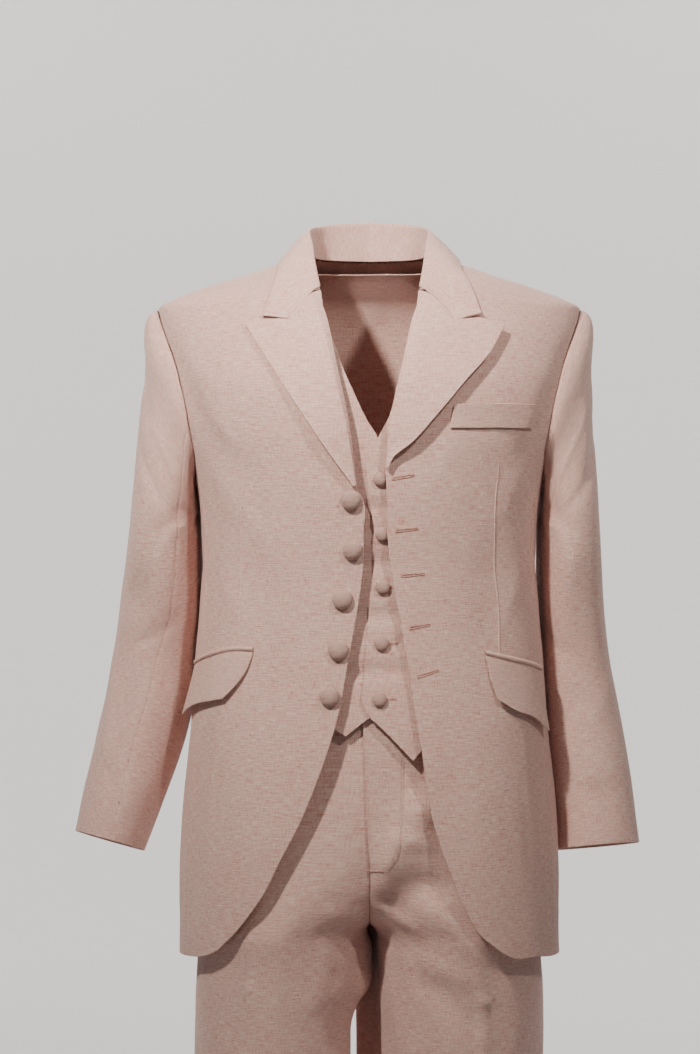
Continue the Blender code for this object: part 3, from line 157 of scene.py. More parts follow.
NOTCH = {
    -1: ((-0.0865, 1.4257), (-0.11, 1.4266), (-0.1322, 1.4225)),
    1: ((0.0892, 1.4237), (0.115, 1.4262), (0.1405, 1.4185)),
}
# Angle from the front centre, and run.
HEM_LINE = ((56.0, 0.748), (72.0, 0.743), (90.0, 0.74), (115.0, 0.737), (180.0, 0.735))
HEM_FADE_ANGLE = 12.0
FRONT_SIDE_SEAM = ((72.0, 0.743), (72.0, 1.05), (73.0, 1.18))
BACK_SIDE_SEAM = ((115.0, 0.737), (113.0, 1.05), (111.0, 1.18))

# Armhole loop on the side of the trunk, seen from the side.
ARMHOLE_MIDDLE = 1.35
ARMHOLE_HALF_HEIGHT = 0.097
ARMHOLE_HALF_DEPTH = 0.062
ARMHOLE_SIDE_ANGLE = 50.0
ARMHOLE_WIDENING = 0.3
SLEEVE_SEAM_ANGLE = 66.25
SEAM_ROWS = 91
ARMHOLE_ROWS = 56
FRONT_COLUMNS = 48
BACK_COLUMNS = 54
SHOULDER_COLUMNS = 36
SIDE_COLUMNS = 24
ROLL_CUT = 0.004

# Sleeve rings: height, outer x, inner x, middle y, half depth.
SLEEVE_RINGS = {
    -1: (
        (1.215, 0.264, 0.1874, 0.012, 0.078), (1.127, 0.2765, 0.1853, 0.03, 0.073),
        (1.07, 0.2845, 0.1908, 0.036, 0.069), (1.01, 0.295, 0.1972, 0.033, 0.065),
        (0.96, 0.306, 0.211, 0.027, 0.062), (0.91, 0.317, 0.229, 0.019, 0.06),
        (0.859, 0.327, 0.248, 0.01, 0.057),
    ),
    1: (
        (1.215, 0.255, 0.188, 0.012, 0.078), (1.127, 0.262, 0.1885, 0.031, 0.073),
        (1.07, 0.268, 0.1905, 0.039, 0.069), (1.01, 0.278, 0.195, 0.039, 0.065),
        (0.95, 0.289, 0.1998, 0.034, 0.062), (0.9, 0.2955, 0.2042, 0.027, 0.06),
        (0.852, 0.301, 0.2072, 0.019, 0.058),
    ),
}
# Folds of the sleeves: alpha from, share from, alpha to, share to, height, half width.
SLEEVE_FOLDS = {
    -1: (
        (182, 0.1, 140, 0.17, -0.003, 0.016), (60, 0.3, 120, 0.46, -0.003, 0.02),
        (85, 0.44, 60, 0.9, 0.0028, 0.02), (135, 0.3, 125, 0.8, 0.0025, 0.022),
        (-60, 0.46, -120, 0.56, -0.0035, 0.018), (-70, 0.58, -130, 0.62, 0.003, 0.016),
        (-100, 0.2, -95, 0.4, 0.0025, 0.02), (150, 0.245, 96, 0.3, -0.0018, 0.008),
        (120, 0.18, 80, 0.215, 0.0012, 0.009), (66, 0.36, 104, 0.42, 0.0018, 0.009),
        (58, 0.5, 92, 0.56, -0.0015, 0.009), (150, 0.62, 110, 0.7, 0.0013, 0.01),
        (-40, 0.43, -96, 0.47, 0.002, 0.009), (-58, 0.52, -110, 0.54, -0.002, 0.008),
        (10, 0.3, 44, 0.42, -0.0016, 0.01), (0, 0.08, 0, 0.26, 0.002, 0.026),
        (96, 0.86, 70, 0.91, -0.002, 0.01), (128, 0.7, 104, 0.86, 0.0016, 0.014),
        (-150, 0.3, -120, 0.38, 0.0016, 0.01),
    ),
    1: (
        (182, 0.2, 140, 0.27, -0.0032, 0.016), (60, 0.28, 118, 0.42, -0.0028, 0.02),
        (92, 0.42, 70, 0.88, 0.0025, 0.02), (140, 0.34, 128, 0.82, 0.0022, 0.022),
        (-58, 0.46, -122, 0.56, -0.0035, 0.018), (-72, 0.58, -128, 0.63, 0.003, 0.016),
        (-104, 0.2, -98, 0.4, 0.0025, 0.02), (152, 0.26, 98, 0.31, -0.0018, 0.008),
        (124, 0.17, 84, 0.21, 0.0012, 0.009), (64, 0.35, 102, 0.41, 0.0017, 0.009),
        (60, 0.52, 94, 0.575, -0.0015, 0.009), (146, 0.64, 112, 0.72, 0.0014, 0.01),
        (-42, 0.425, -94, 0.462, 0.002, 0.009), (-56, 0.515, -112, 0.538, -0.002, 0.008),
        (12, 0.31, 46, 0.41, -0.0016, 0.01), (0, 0.35, 0, 0.7, 0.0016, 0.026),
        (112, 0.88, 118, 0.96, -0.0022, 0.01), (86, 0.64, 98, 0.84, 0.0016, 0.014),
        (-152, 0.31, -118, 0.39, 0.0016, 0.01),
    ),
}
SLEEVE_LENGTH = 0.6
SLEEVE_ARC = 0.00105
SLEEVE_SIT = 0.0004
CAP_SHARE = 0.34
CAP_BULGE = 0.0055
# Shares of the sleeve's length at the armhole, on the cap and at the first ring.
CAP_KNOTS = (0.0, 0.13, 0.38)
# How far the cap leans outward at the shoulder, and how round a ring is.
CAP_LEAN = 0.65
RING_POWER = 0.93
# Degrees by which the front seam turns from its place at the armhole, ring by ring down the sleeve,
# and by which the turn fades out beside it.
SEAM_SWINGS = {-1: (-4, 7, 16, 21, 23, 20, 15), 1: (-16, -25, -31, -33, -33, -31, -30)}
SWING_SPREAD = 60.0
SLEEVE_ROWS = 100
SLEEVE_ROW_POWER = 1.35
SLEEVE_SEED = 38

LAPEL_ROWS = 60
LAPEL_COLUMNS = 36
LAPEL_SHARES = (0.0, 0.13, 0.3, 0.5, 0.75, 1.0)
LAPEL_LIFTS = {
    -1: (0.001, 0.0064, 0.0062, 0.0052, 0.0042, 0.0034),
    1: (0.001, 0.0068, 0.0078, 0.0082, 0.0088, 0.0094),
}
LAPEL_STAND = {-1: 0.0052, 1: 0.0016}
LAPEL_EDGE_STAND = 0.0014
LAPEL_STAND_PLACE = 0.30
LAPEL_STAND_REACH = 0.28
ROLL_TOP = 1.443
ROLL_TOP_SPAN = 0.0055
ROLL_TOP_SHIFT = 0.0027
ROLL_TOP_BREADTH = 0.12
# Collar: share of the way, crest x, y, z, base x, y, z.
COLLAR_ROWS = (
    (0.0, 0.0556, -0.0895, 1.464, 0.052, -0.087, 1.456), (0.22, 0.06, -0.065, 1.49, 0.058, -0.06, 1.479),
    (0.42, 0.063, -0.035, 1.515, 0.0615, -0.031, 1.5), (0.6, 0.066, 0.0, 1.535, 0.0665, 0.0, 1.5095),
    (0.8, 0.049, 0.045, 1.5465, 0.05, 0.043, 1.507), (1.0, 0.0, 0.0635, 1.552, 0.0, 0.0598, 1.507),
)
COLLAR_OUTER = {
    -1: ((-0.1143, 1.4299), (-0.1046, 1.4545), (-0.099, 1.48)),
    1: ((0.1183, 1.4325), (0.1084, 1.4611), (0.1, 1.483)),
}
COLLAR_BACK = ((92.0, 1.6), (135.0, 1.584), (180.0, 1.568))
COLLAR_LIFT = 0.005
COLLAR_HALF_ROWS = 60
COLLAR_COLUMNS = 44
COLLAR_SHARES = (0.0, 0.065, 0.13, 0.3, 0.4, 0.5, 0.6, 0.7)
COLLAR_LINES = (0.0, 0.20, 0.40, 0.50, 0.62, 0.74, 0.87, 1.0)

FLAP_TOP = {
    -1: ((-0.1236, 1.0745), (-0.1471, 1.074), (-0.17, 1.067), (-0.189, 1.056)),
    1: ((0.1218, 1.0706), (0.1432, 1.065), (0.168, 1.058), (0.185, 1.05)),
}
FLAP_FOOT = {
    -1: ((-0.1525, 1.0238), (-0.1678, 1.0205), (-0.18, 1.0165), (-0.1948, 1.001)),
    1: ((0.1328, 1.024), (0.1506, 1.0123), (0.17, 1.004), (0.1875, 0.986)),
}
FLAP_LIFT = {-1: (0.0021, 0.0068, 0.011), 1: (0.0021, 0.0062, 0.0085)}
FLAP_BOW = {-1: 2.6, 1: 0.5}
FLAP_ROWS = 20
FLAP_COLUMNS = 30
PIPING_HEIGHT = 0.0055
PIPING_WALL = 0.0012
PIPING_ROLL = 0.0026
PIPING_ROWS = 7
WELT_TOP = ((0.0876, 1.3347), (0.13, 1.3365), (0.1735, 1.3375))
WELT_FOOT = ((0.0835, 1.3109), (0.129, 1.312), (0.1727, 1.3125))
WELT_LIFT = 0.0011
WELT_STAND = 0.0016
WELT_ROWS = 12
WELT_COLUMNS = 36

# Buttons: x and height of each; radius and height of their domes.
JACKET_BUTTONS = ((-0.02, 1.2352), (-0.0184, 1.1833), (-0.0287, 1.1313), (-0.033, 1.078), (-0.0419, 1.0297))
JACKET_BUTTON = (0.0108, 0.0085)
WAISTCOAT_BUTTONS = (
    (0.0104, 1.2573), (0.0126, 1.1986), (0.0126, 1.1439), (0.0116, 1.0851), (0.0094, 1.0265),
)
WAISTCOAT_BUTTON = (0.0078, 0.0058)

# The wearer's right front of the waistcoat runs on under the left one.
WAISTCOAT_EDGE = {
    -1: (
        (-0.0245, 0.988), (0.003, 1.0095), (0.008, 1.03), (0.022, 1.09), (0.024, 1.16), (0.022, 1.23),
        (0.018, 1.282),
    ),
    1: (
        (0.0435, 0.962), (0.001, 1.0065), (-0.0084, 1.0234), (-0.0074, 1.0359), (0.0, 1.125),
        (0.0063, 1.186), (-0.001, 1.24), (-0.0042, 1.273),
    ),
}
WAISTCOAT_NECK = {
    -1: (
        (0.018, 1.282), (0.0083, 1.3003), (-0.0231, 1.3681), (-0.0412, 1.4185), (-0.0545, 1.46),
        (-0.064, 1.486), (-0.074, 1.5),
    ),
    1: (
        (-0.0042, 1.273), (0.0083, 1.3003), (0.03, 1.347), (0.047, 1.408), (0.0565, 1.46), (0.065, 1.486),
        (0.074, 1.5),
    ),
}
WAISTCOAT_HEM = {
    -1: ((-0.0245, 0.988), (-0.07, 1.016), (-0.12, 1.025)),
    1: ((0.0435, 0.962), (0.08, 1.006), (0.12, 1.023)),
}
WAISTCOAT_SIDE_FOOT = 1.024
WAISTCOAT_UNDERARM = 1.205
WAISTCOAT_NECK_RUN = 1.61
WAISTCOAT_TIP_RUN = 1.55
WAISTCOAT_ARMHOLE = ((90.0, 1.205), (74.0, 1.235), (64.0, 1.3), (62.0, 1.38), (68.0, 1.465), (90.0, 1.55))
WAISTCOAT_INSET = 0.013
OVERLAP_LIFT = 0.0036
W_ROWS_LOW = 48
W_ROWS_HIGH = 56
W_COLUMNS = 42

# Trouser rings: height, half width, leg middle x, front depth, back depth, middle y.
TROUSER_RINGS = (
    (0.04, 0.172, 0.107, 0.095, 0.092, 0.004), (0.25, 0.174, 0.104, 0.097, 0.098, 0.006),
    (0.48, 0.183, 0.098, 0.103, 0.104, 0.006), (0.62, 0.1925, 0.0985, 0.108, 0.11, 0.004),
    (0.7, 0.1915, 0.0972, 0.112, 0.104, 0.003), (0.745, 0.189, 0.0952, 0.116, 0.102, 0.002),
    (0.772, 0.1875, 0.0938, 0.119, 0.1, 0.0), (0.79, 0.1868, 0.08, 0.121, 0.101, 0.0),
    (0.815, 0.186, 0.062, 0.123, 0.103, 0.0), (0.85, 0.185, 0.04, 0.125, 0.107, 0.0),
    (0.9, 0.1835, 0.018, 0.126, 0.111, 0.0), (0.96, 0.179, 0.004, 0.125, 0.108, 0.0),
    (1.046, 0.173, 0.0005, 0.122, 0.093, 0.0),
)
TROUSER_CROTCH = 0.772
TROUSER_TOP = 1.045
# Folds of the legs: angle from, height from, angle to, height to, ridge height, half width.
TROUSER_FOLDS = {
    -1: (
        (-70, 0.7, -60, 0.56, 0.0035, 0.022), (45, 0.72, 55, 0.48, -0.003, 0.026),
        (150, 0.84, 215, 0.8, 0.003, 0.02), (160, 0.52, 200, 0.48, 0.0035, 0.026),
        (0, 0.12, 40, 0.07, -0.003, 0.022), (21, 0.807, 18, 0.716, 0.002, 0.005),
        (18, 0.716, 20, 0.64, 0.0026, 0.005), (20, 0.64, 6, 0.52, 0.0022, 0.006),
        (30, 0.8, 31, 0.62, -0.0024, 0.014), (-18, 0.838, -40, 0.8, -0.0026, 0.01),
        (-12, 0.8, -44, 0.786, 0.0012, 0.007), (-30, 0.76, -22, 0.7, 0.0022, 0.012),
        (-60, 0.745, -48, 0.66, -0.0032, 0.014), (20, 0.87, 44, 0.8, 0.0016, 0.014),
        (-20, 0.56, 30, 0.53, -0.0016, 0.012), (200, 0.56, 150, 0.535, -0.0022, 0.012),
        (195, 0.5, 150, 0.512, 0.002, 0.012), (200, 0.78, 160, 0.735, -0.0026, 0.013),
        (-20, 0.18, 24, 0.15, 0.0018, 0.012), (150, 0.2, 195, 0.15, 0.002, 0.014),
    ),
    1: (
        (13, 0.912, 4, 0.877, 0.006, 0.015), (4, 0.877, -20, 0.832, 0.0075, 0.015),
        (4, 0.83, -20, 0.8, -0.0065, 0.015), (-70, 0.7, -60, 0.56, 0.0035, 0.022),
        (48, 0.735, 58, 0.48, -0.0035, 0.026), (150, 0.84, 215, 0.8, 0.003, 0.02),
        (160, 0.53, 200, 0.49, 0.0035, 0.026), (-5, 0.125, 35, 0.075, -0.003, 0.022),
        (7.7, 0.765, 13.1, 0.703, 0.0022, 0.005), (13.1, 0.703, 11, 0.64, 0.0026, 0.005),
        (11, 0.64, 4, 0.52, 0.0022, 0.006), (24, 0.76, 24, 0.62, -0.0024, 0.014),
        (13.8, 0.9125, 5.6, 0.885, 0.0036, 0.011), (-0.8, 0.869, -20, 0.8322, 0.0042, 0.011),
        (5.8, 0.883, 2.2, 0.871, -0.006, 0.014), (-17, 0.812, 0, 0.829, -0.003, 0.014),
        (22, 0.886, 34, 0.838, -0.0034, 0.013), (-2, 0.8, 14, 0.752, 0.0022, 0.014),
        (-36, 0.79, -26, 0.72, -0.0024, 0.011), (-11, 0.713, 7, 0.682, -0.0038, 0.015),
        (-20, 0.744, 2, 0.728, 0.002, 0.012), (-60, 0.742, -46, 0.65, 0.0022, 0.012),
        (22, 0.86, 40, 0.77, 0.0014, 0.014), (-24, 0.555, 26, 0.52, -0.0016, 0.012),
        (198, 0.57, 152, 0.548, -0.0022, 0.012), (196, 0.51, 152, 0.525, 0.002, 0.012),
        (198, 0.785, 160, 0.745, -0.0026, 0.013), (-24, 0.19, 22, 0.16, 0.0018, 0.012),
        (152, 0.21, 194, 0.155, 0.002, 0.014),
    ),
}
# Height, and how far the pressed crease stands out.
CREASE_ROWS = ((0.04, 0.012), (0.5, 0.01), (0.76, 0.006), (0.88, 0.003), (1.0, 0.0), (1.05, 0.0))
CREASE_WIDTH = 20.0
# Height, and how far the inner edge of the leg draws away from the other leg.
INNER_SWING = {
    -1: (
        (0.04, 0.0), (0.25, 0.0), (0.48, 0.004), (0.56, 0.011), (0.64, 0.0165), (0.672, 0.015),
        (0.69, 0.008), (0.706, -0.003), (0.735, -0.0045), (0.758, -0.0025), (0.772, 0.0),
    ),
    1: (
        (0.04, 0.0), (0.25, 0.0), (0.48, 0.003), (0.57, 0.0075), (0.64, 0.01), (0.7, 0.009),
        (0.735, 0.0075), (0.758, 0.005), (0.772, 0.0),
    ),
}
# Height, and how far the inner back of the leg hangs in behind the other leg.
BACK_FOLD = {
    -1: ((0.04, 0.0), (1.1, 0.0)),
    1: (
        (0.04, 0.0), (0.25, 0.0), (0.4, 0.008), (0.52, 0.024), (0.6, 0.036), (0.672, 0.0375), (0.69, 0.033),
        (0.706, 0.024), (0.735, 0.0205), (0.758, 0.019), (0.766, 0.012), (0.772, 0.0), (1.1, 0.0),
    ),
}
BACK_FOLD_ANGLE = -120.0
BACK_FOLD_BREADTH = (17.0, 34.0)
LEG_ARC = 0.0017
LEG_ROW_HEIGHTS = (
    0.04, 0.13, 0.22, 0.31, 0.4, 0.49, 0.57, 0.64, 0.672, 0.69, 0.706, 0.735, 0.758, 0.78, 0.795, 0.815,
    0.84, 0.87, 0.91, 0.955, 1.0, 1.045,
)
LEG_COLUMNS = 56
# Closer rows, as heights above the crotch.
CROTCH_ROWS = (0.0, 0.0006, 0.0016, 0.003, 0.005, 0.0075, 0.0105)
BAND_TOP = 1.083
BAND_LEAN = 0.08
# Fly: height, x of the free edge, x of the curved stitching.
FLY_EDGE = (
    (0.844, 0.0004, 0.015), (0.852, 0.0, 0.0225), (0.865, -0.0008, 0.0285), (0.885, -0.0022, 0.0318),
    (0.9146, -0.0036, 0.0325), (0.9568, -0.005, 0.0325), (0.9969, -0.0068, 0.032), (1.044, -0.008, 0.032),
)

# Cloth.
RIPPLE_HEIGHT = 0.00045
RIPPLE_LENGTHS = (0.034, 0.051, 0.078, 0.12)
SEAM_DIP = 0.0005
SEAM_DIP_WIDTH = 0.0018
SEAM_PULL = 0.0002
TURNED_PULL = 0.0004
BORDER_STEPS = (0.0005, 0.0012, 0.0024)
RIM_SHARE = 0.3
CLOTH_WALL = 0.0018
# Threads of the linen: slubs per metre across and along, place on the colour ramp and colour.
WEFT_SLUB = (95.0, 900.0)
WARP_SLUB = (900.0, 130.0)
LONG_SLUB = (30.0, 620.0)
THREAD_PERIOD = 0.0011
THREAD_COLOURS = (
    (-0.15, (0.57, 0.222, 0.196)), (-0.055, (0.664, 0.382, 0.345)), (0.03, (0.73, 0.481, 0.427)),
    (0.13, (0.824, 0.631, 0.562)),
)
LINEN_LOOK = {"Sheen Weight": 0.22, "Sheen Roughness": 0.45, "Specular IOR Level": 0.25}


def hermite(p0, p1, t0, t1, t):
    """Cubic between two points with given end tangents."""
    return ((2 * t**3 - 3 * t**2 + 1) * p0 + (t**3 - 2 * t**2 + t) * t0
            + (3 * t**2 - 2 * t**3) * p1 + (t**3 - t**2) * t1)


def smooth(rows, column, at):
    """Value of one table column at the given places, by cubic pieces through the rows."""
    table = np.asarray(rows, float)
    key, value = table[:, 0], table[:, column]
    at = np.clip(np.asarray(at, float), key[0], key[-1])
    step = np.diff(key)
    slope = np.diff(value) / step
    middle = (slope[:-1] * step[1:] + slope[1:] * step[:-1]) / (step[:-1] + step[1:])
    middle[slope[:-1] * slope[1:] <= 0] = 0.0
    tangent = np.concatenate(([slope[0]], middle, [slope[-1]]))
    i = np.clip(np.searchsorted(key, at, side="right") - 1, 0, len(key) - 2)
    ends = value[i], value[i + 1], step[i] * tangent[i], step[i] * tangent[i + 1]
    return hermite(*ends, (at - key[i]) / step[i])


def smooth_lines(rows, at):
    """All columns after the first at the given places."""
    return np.stack([smooth(rows, k, at) for k in range(1, np.shape(rows)[1])], -1)


def power(value, exponent):
    """Signed power."""
    return np.sign(value) * np.abs(value) ** exponent


def unit(vector):
    """Vectors scaled to length one."""
    return vector / np.maximum(np.linalg.norm(vector, axis=-1, keepdims=True), 1e-12)


def oval(turn, wide, front, back):
    """x and y on a rounded ring with one depth in front and another behind."""
    depth = np.where(np.cos(turn) > 0, front, back)
    return wide * power(np.sin(turn), 2 / ROUNDNESS), -depth * power(np.cos(turn), 2 / ROUNDNESS)


def fold_height(folds, across, along, arc, reach=1.0, tapered=False):
    """Sum of the soft folds at places of the cloth; arc and reach are metres per step across and along."""
    total = np.zeros(np.broadcast(across, along).shape)
    for a0, b0, a1, b1, height, width in folds:
        dx, dy = (a1 - a0) * arc, (b1 - b0) * reach
        px, py = (across - a0) * arc, (along - b0) * reach
        inside = np.clip((px * dx + py * dy) / (dx * dx + dy * dy), 0, 1)
        away = np.hypot(px - inside * dx, py - inside * dy)
        if tapered:
            height = height * (0.35 + 0.65 * np.sin(np.pi * np.clip(inside, 0.02, 0.98)) ** 0.7)
        total = total + height * np.exp(-((away / width) ** 2))
    return total


class Trunk:
    """Closed rings round the body; a place on it is an angle in degrees from the front and a run."""

    def __init__(self, rings, folds, inset=0.0):
        self.rings = rings
        self.folds = folds
        self.inset = inset

    def bare(self, angle, run):
        height, wide, front, back = (smooth(self.rings, k, run) for k in (1, 2, 3, 4))
        return np.stack(np.broadcast_arrays(*oval(np.radians(angle), wide, front, back), height), -1)

    def outward(self, angle, run):
        da, dr = 1.5, 0.004
        round_way = self.bare(angle + da, run) - self.bare(angle - da, run)
        up_way = self.bare(angle, run + dr) - self.bare(angle, run - dr)
        return unit(np.cross(round_way, up_way))

    def at(self, place, lift=0.0):
        angle, run = place[..., 0], place[..., 1]
        folds = fold_height(self.folds, angle, run, ARC_PER_DEGREE, tapered=True)
        rise = np.asarray(lift) - self.inset + folds
        return self.bare(angle, run) + self.outward(angle, run) * rise[..., None]

    def run_of(self, height):
        table = np.asarray(self.rings, float)
        return np.interp(height, table[:, 1], table[:, 0])

    def seen(self, points):
        """Places of points given as x and height in the front view."""
        points = np.asarray(points, float)
        run = self.run_of(points[:, 1])
        wide = smooth(self.rings, 2, run) - self.inset
        share = np.clip(np.abs(points[:, 0]) / wide, 0, 1)
        angle = np.degrees(np.arcsin(share ** (ROUNDNESS / 2))) * np.sign(points[:, 0])
        return np.stack((angle, run), -1)

    def beside(self, y, height, side):
        """Places of points given as y and height in the side view."""
        run = self.run_of(height)
        depth = np.where(y < 0, smooth(self.rings, 3, run), smooth(self.rings, 4, run))
        angle = np.degrees(np.arccos(np.clip(np.abs(y) / depth, 0, 1) ** (ROUNDNESS / 2)))
        return np.stack((side * np.where(y > 0, 180 - angle, angle), run), -1)


def lengths(points):
    """Distance of each point of a line from its start, along the line."""
    return np.concatenate(([0.0], np.cumsum(np.linalg.norm(np.diff(points, axis=0), axis=-1))))


def resample(places, count):
    """The line through the places, cut into equal lengths."""
    places = np.asarray(places, float)
    length = lengths(places * (ARC_PER_DEGREE, 1.0))
    at = np.linspace(0, length[-1], count + 1)
    return np.stack([np.interp(at, length, column) for column in places.T], -1)


def rounded(places, count):
    """Like resample, through a smooth line instead of straight pieces."""
    places = np.asarray(places, float)
    length = lengths(places * (ARC_PER_DEGREE, 1.0))
    return smooth_lines(np.column_stack((length, places)), np.linspace(0, length[-1], count + 1))


def join(*lines):
    """Lines laid end to end, shared end points kept once."""
    return np.concatenate([lines[0]] + [line[1:] for line in lines[1:]])


def fill(left, right, bottom, top):
    """Places between four edge lines of a panel; rows go up, columns go across."""
    v = np.linspace(0, 1, len(left))[:, None, None]
    u = np.linspace(0, 1, len(bottom))[None, :, None]
    flat = (1 - u) * left[:, None] + u * right[:, None] + (1 - v) * bottom[None] + v * top[None]
    flat = flat - (1 - u) * (1 - v) * left[0] - u * (1 - v) * right[0]
    return flat - (1 - u) * v * left[-1] - u * v * right[-1]


def ripple(points, seed):
    """Slow unevenness of hanging cloth, a few sines in fixed directions."""
    draw = np.random.default_rng(seed)
    total = np.zeros(points.shape[:-1])
    for length in RIPPLE_LENGTHS:
        for _ in range(3):
            way = draw.normal(size=3) * (1.0, 1.0, 0.55)
            way = way / np.linalg.norm(way)
            total = total + np.sin(points @ way * 2 * math.pi / length + draw.uniform(0, 6.28)) * length
    return total / (3 * sum(RIPPLE_LENGTHS)) * RIPPLE_HEIGHT * 3


def grid_normals(points, outward):
    """Normals of a grid of points; outward is a rough direction of the outer side for each point."""
    normal = unit(np.cross(np.gradient(points, axis=1), np.gradient(points, axis=0)))
    turned = np.sign(np.sum(normal * outward))
    return normal * (turned if turned else 1.0)


def with_borders(grid, steps):
    """Extra rows and columns close to the four edges, at the given distances from them."""
    def spread(line, metric):
        first = np.linalg.norm(metric[1] - metric[0], axis=-1).mean()
        last = np.linalg.norm(metric[-2] - metric[-1], axis=-1).mean()
        near = np.minimum(1.0, 0.75 * first / steps[-1]) / first
        far = np.minimum(1.0, 0.75 * last / steps[-1]) / last
        start = [line[0] + (line[1] - line[0]) * s * near for s in steps]
        end = [line[-1] + (line[-2] - line[-1]) * s * far for s in steps]
        return np.concatenate((line[:1], start, line[1:-1], end[::-1], line[-1:]))

    grid = spread(grid, grid[..., :3])
    turned = np.swapaxes(grid, 0, 1)
    return np.swapaxes(spread(turned, turned[..., :3]), 0, 1)


def edge_distance(points, edge):
    """Distance along the cloth from one of the edges l, r, b and t."""
    axis = 1 if edge in "lr" else 0
    line = np.flip(points, axis) if edge in "rt" else points
    total = np.cumsum(np.linalg.norm(np.diff(line, axis=axis), axis=-1), axis=axis)
    total = np.concatenate((np.zeros_like(np.take(total, [0], axis)), total), axis)
    return np.flip(total, axis) if edge in "rt" else total


# The points of each edge, and those towards which a seam draws it.
EDGE_POINTS = {
    "l": (np.s_[:, 0], np.s_[:, 4]), "r": (np.s_[:, -1], np.s_[:, -5]),
    "b": (np.s_[0], np.s_[4]), "t": (np.s_[-1], np.s_[-5]),
}


def shell(name, points, normals, uv, wall=CLOTH_WALL, sewn="", pull=SEAM_PULL, seed=1):
    """Thin cloth with rolled edges on a grid of points; sewn names the edges that are drawn into a seam."""
    grid = with_borders(np.concatenate((points, normals, uv), -1), BORDER_STEPS)
    points, normals, uv = grid[..., :3], unit(grid[..., 3:6]), grid[..., 6:8].reshape(-1, 2)
    lift = ripple(points, seed)
    for edge in sewn:
        lift = lift - SEAM_DIP * np.exp(-((edge_distance(points, edge) / SEAM_DIP_WIDTH) ** 2))
    points = points.copy()
    for edge in sewn:
        row, step = EDGE_POINTS[edge]
        points[row] = points[row] + unit(points[step] - points[row]) * pull
    outer = (points + normals * lift[..., None]).reshape(-1, 3)
    inner = (points + normals * (lift - wall)[..., None]).reshape(-1, 3)
    rows, columns = lift.shape
    count = rows * columns
    index = np.arange(count).reshape(rows, columns)
    loop = np.concatenate((index[0, :-1], index[:-1, -1], index[-1, :0:-1], index[:0:-1, 0]))
    inward = np.zeros((rows, columns, 3))
    inward[0] += unit(points[2] - points[0])
    inward[-1] += unit(points[-3] - points[-1])
    inward[:, 0] += unit(points[:, 2] - points[:, 0])
    inward[:, -1] += unit(points[:, -3] - points[:, -1])
    rim = (outer + inner)[loop] / 2 - unit(inward.reshape(-1, 3)[loop]) * wall * RIM_SHARE
    square = np.stack((index[:-1, :-1], index[:-1, 1:], index[1:, 1:], index[1:, :-1]), -1).reshape(-1, 4)
    after = np.roll(loop, -1)
    edge = 2 * count + np.arange(len(loop))
    edge_after = np.roll(edge, -1)
    faces = np.concatenate((
        square,
        square[:, ::-1] + count,
        np.stack((loop, edge, edge_after, after), -1),
        np.stack((edge, loop + count, after + count, edge_after), -1),
    ))
    # Faces of the outer side look along the normals.
    a, b, c = (outer[square[:, k]] for k in (0, 1, 2))
    if np.sum(np.cross(b - a, c - a) * normals.reshape(-1, 3)[square[:, 0]]) < 0:
        faces = faces[:, ::-1]
    verts = np.concatenate((outer, inner, rim))
    return mesh_piece(name, verts, faces.tolist(), np.concatenate((uv, uv, uv[loop])))


def mesh_piece(name, verts, faces, uv=None):
    """Mesh object with smooth faces; uv has a pair for each point, whose height is still above the soles."""
    mesh = bpy.data.meshes.new(name)
    mesh.from_pydata((np.asarray(verts) - (0.0, 0.0, HELD_HEIGHT)).tolist(), [], faces)
    if uv is not None:
        layer = mesh.uv_layers.new(name="cloth")
        corners = np.zeros(len(mesh.loops), dtype=np.int32)
        mesh.loops.foreach_get("vertex_index", corners)
        layer.data.foreach_set("uv", np.asarray(uv)[corners].astype(np.float32).ravel())
    mesh.polygons.foreach_set("use_smooth", [True] * len(mesh.polygons))
    mesh.update()
    piece = bpy.data.objects.new(name, mesh)
    bpy.context.scene.collection.objects.link(piece)
    return piece


def dress(piece, material, node=None):
    """Material and body of a piece; node is the solid that it stands for, which is hidden."""
    piece.data.materials.append(material)
    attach(piece, "root")
    if node:
        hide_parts(node)
    return piece


def cloth_piece(name, grid, material, held="draped", solid=True, rests_on=(), **form):
    """A cut piece of cloth; it stands for the solid of its name if there is one."""
    piece = shell(name + "_cloth" if solid else name, *grid, **form)
    dress(piece, material, name if solid else None)


def on_trunk(trunk, places, lift=0.0):
    """Points, normals and cloth coordinates of places on a trunk."""
    points = trunk.at(places, lift)
    normals = grid_normals(points, trunk.outward(places[..., 0], places[..., 1]))
    return points, normals, places * (ARC_PER_DEGREE, 1.0)


def set_inputs(node, values):
    """Constants of a shader node."""
    for name, value in values.items():
        node.inputs[name].default_value = value


def add_node(tree, kind, links=None, values=None, **choices):
    """Shader node with its choices, links and constants; the last two are given for each input."""
    node = tree.nodes.new("ShaderNode" + kind)
    for name, choice in choices.items():
        setattr(node, name, choice)
    for name, source in (links or {}).items():
        tree.links.new(source, node.inputs[name])
    set_inputs(node, values or {})
    return node


def noise(tree, vector, scale, stretch=None):
    """Noise value; stretch is a scale for each axis."""
    if stretch:
        vector = add_node(tree, "Mapping", {"Vector": vector}, {"Scale": stretch}).outputs["Vector"]
    values = {"Scale": scale, "Detail": 2.0, "Roughness": 0.62}
    return add_node(tree, "TexNoise", {"Vector": vector}, values).outputs["Fac"]


def sum_of(tree, parts):
    """Weighted sum of values, given as (value, weight) pairs."""
    total = {}
    for value, weight in parts:
        values = {1: weight, 2: 0.0}
        node = add_node(tree, "Math", {0: value, **total}, values, operation="MULTIPLY_ADD")
        total = {2: node.outputs[0]}
    return total[2]


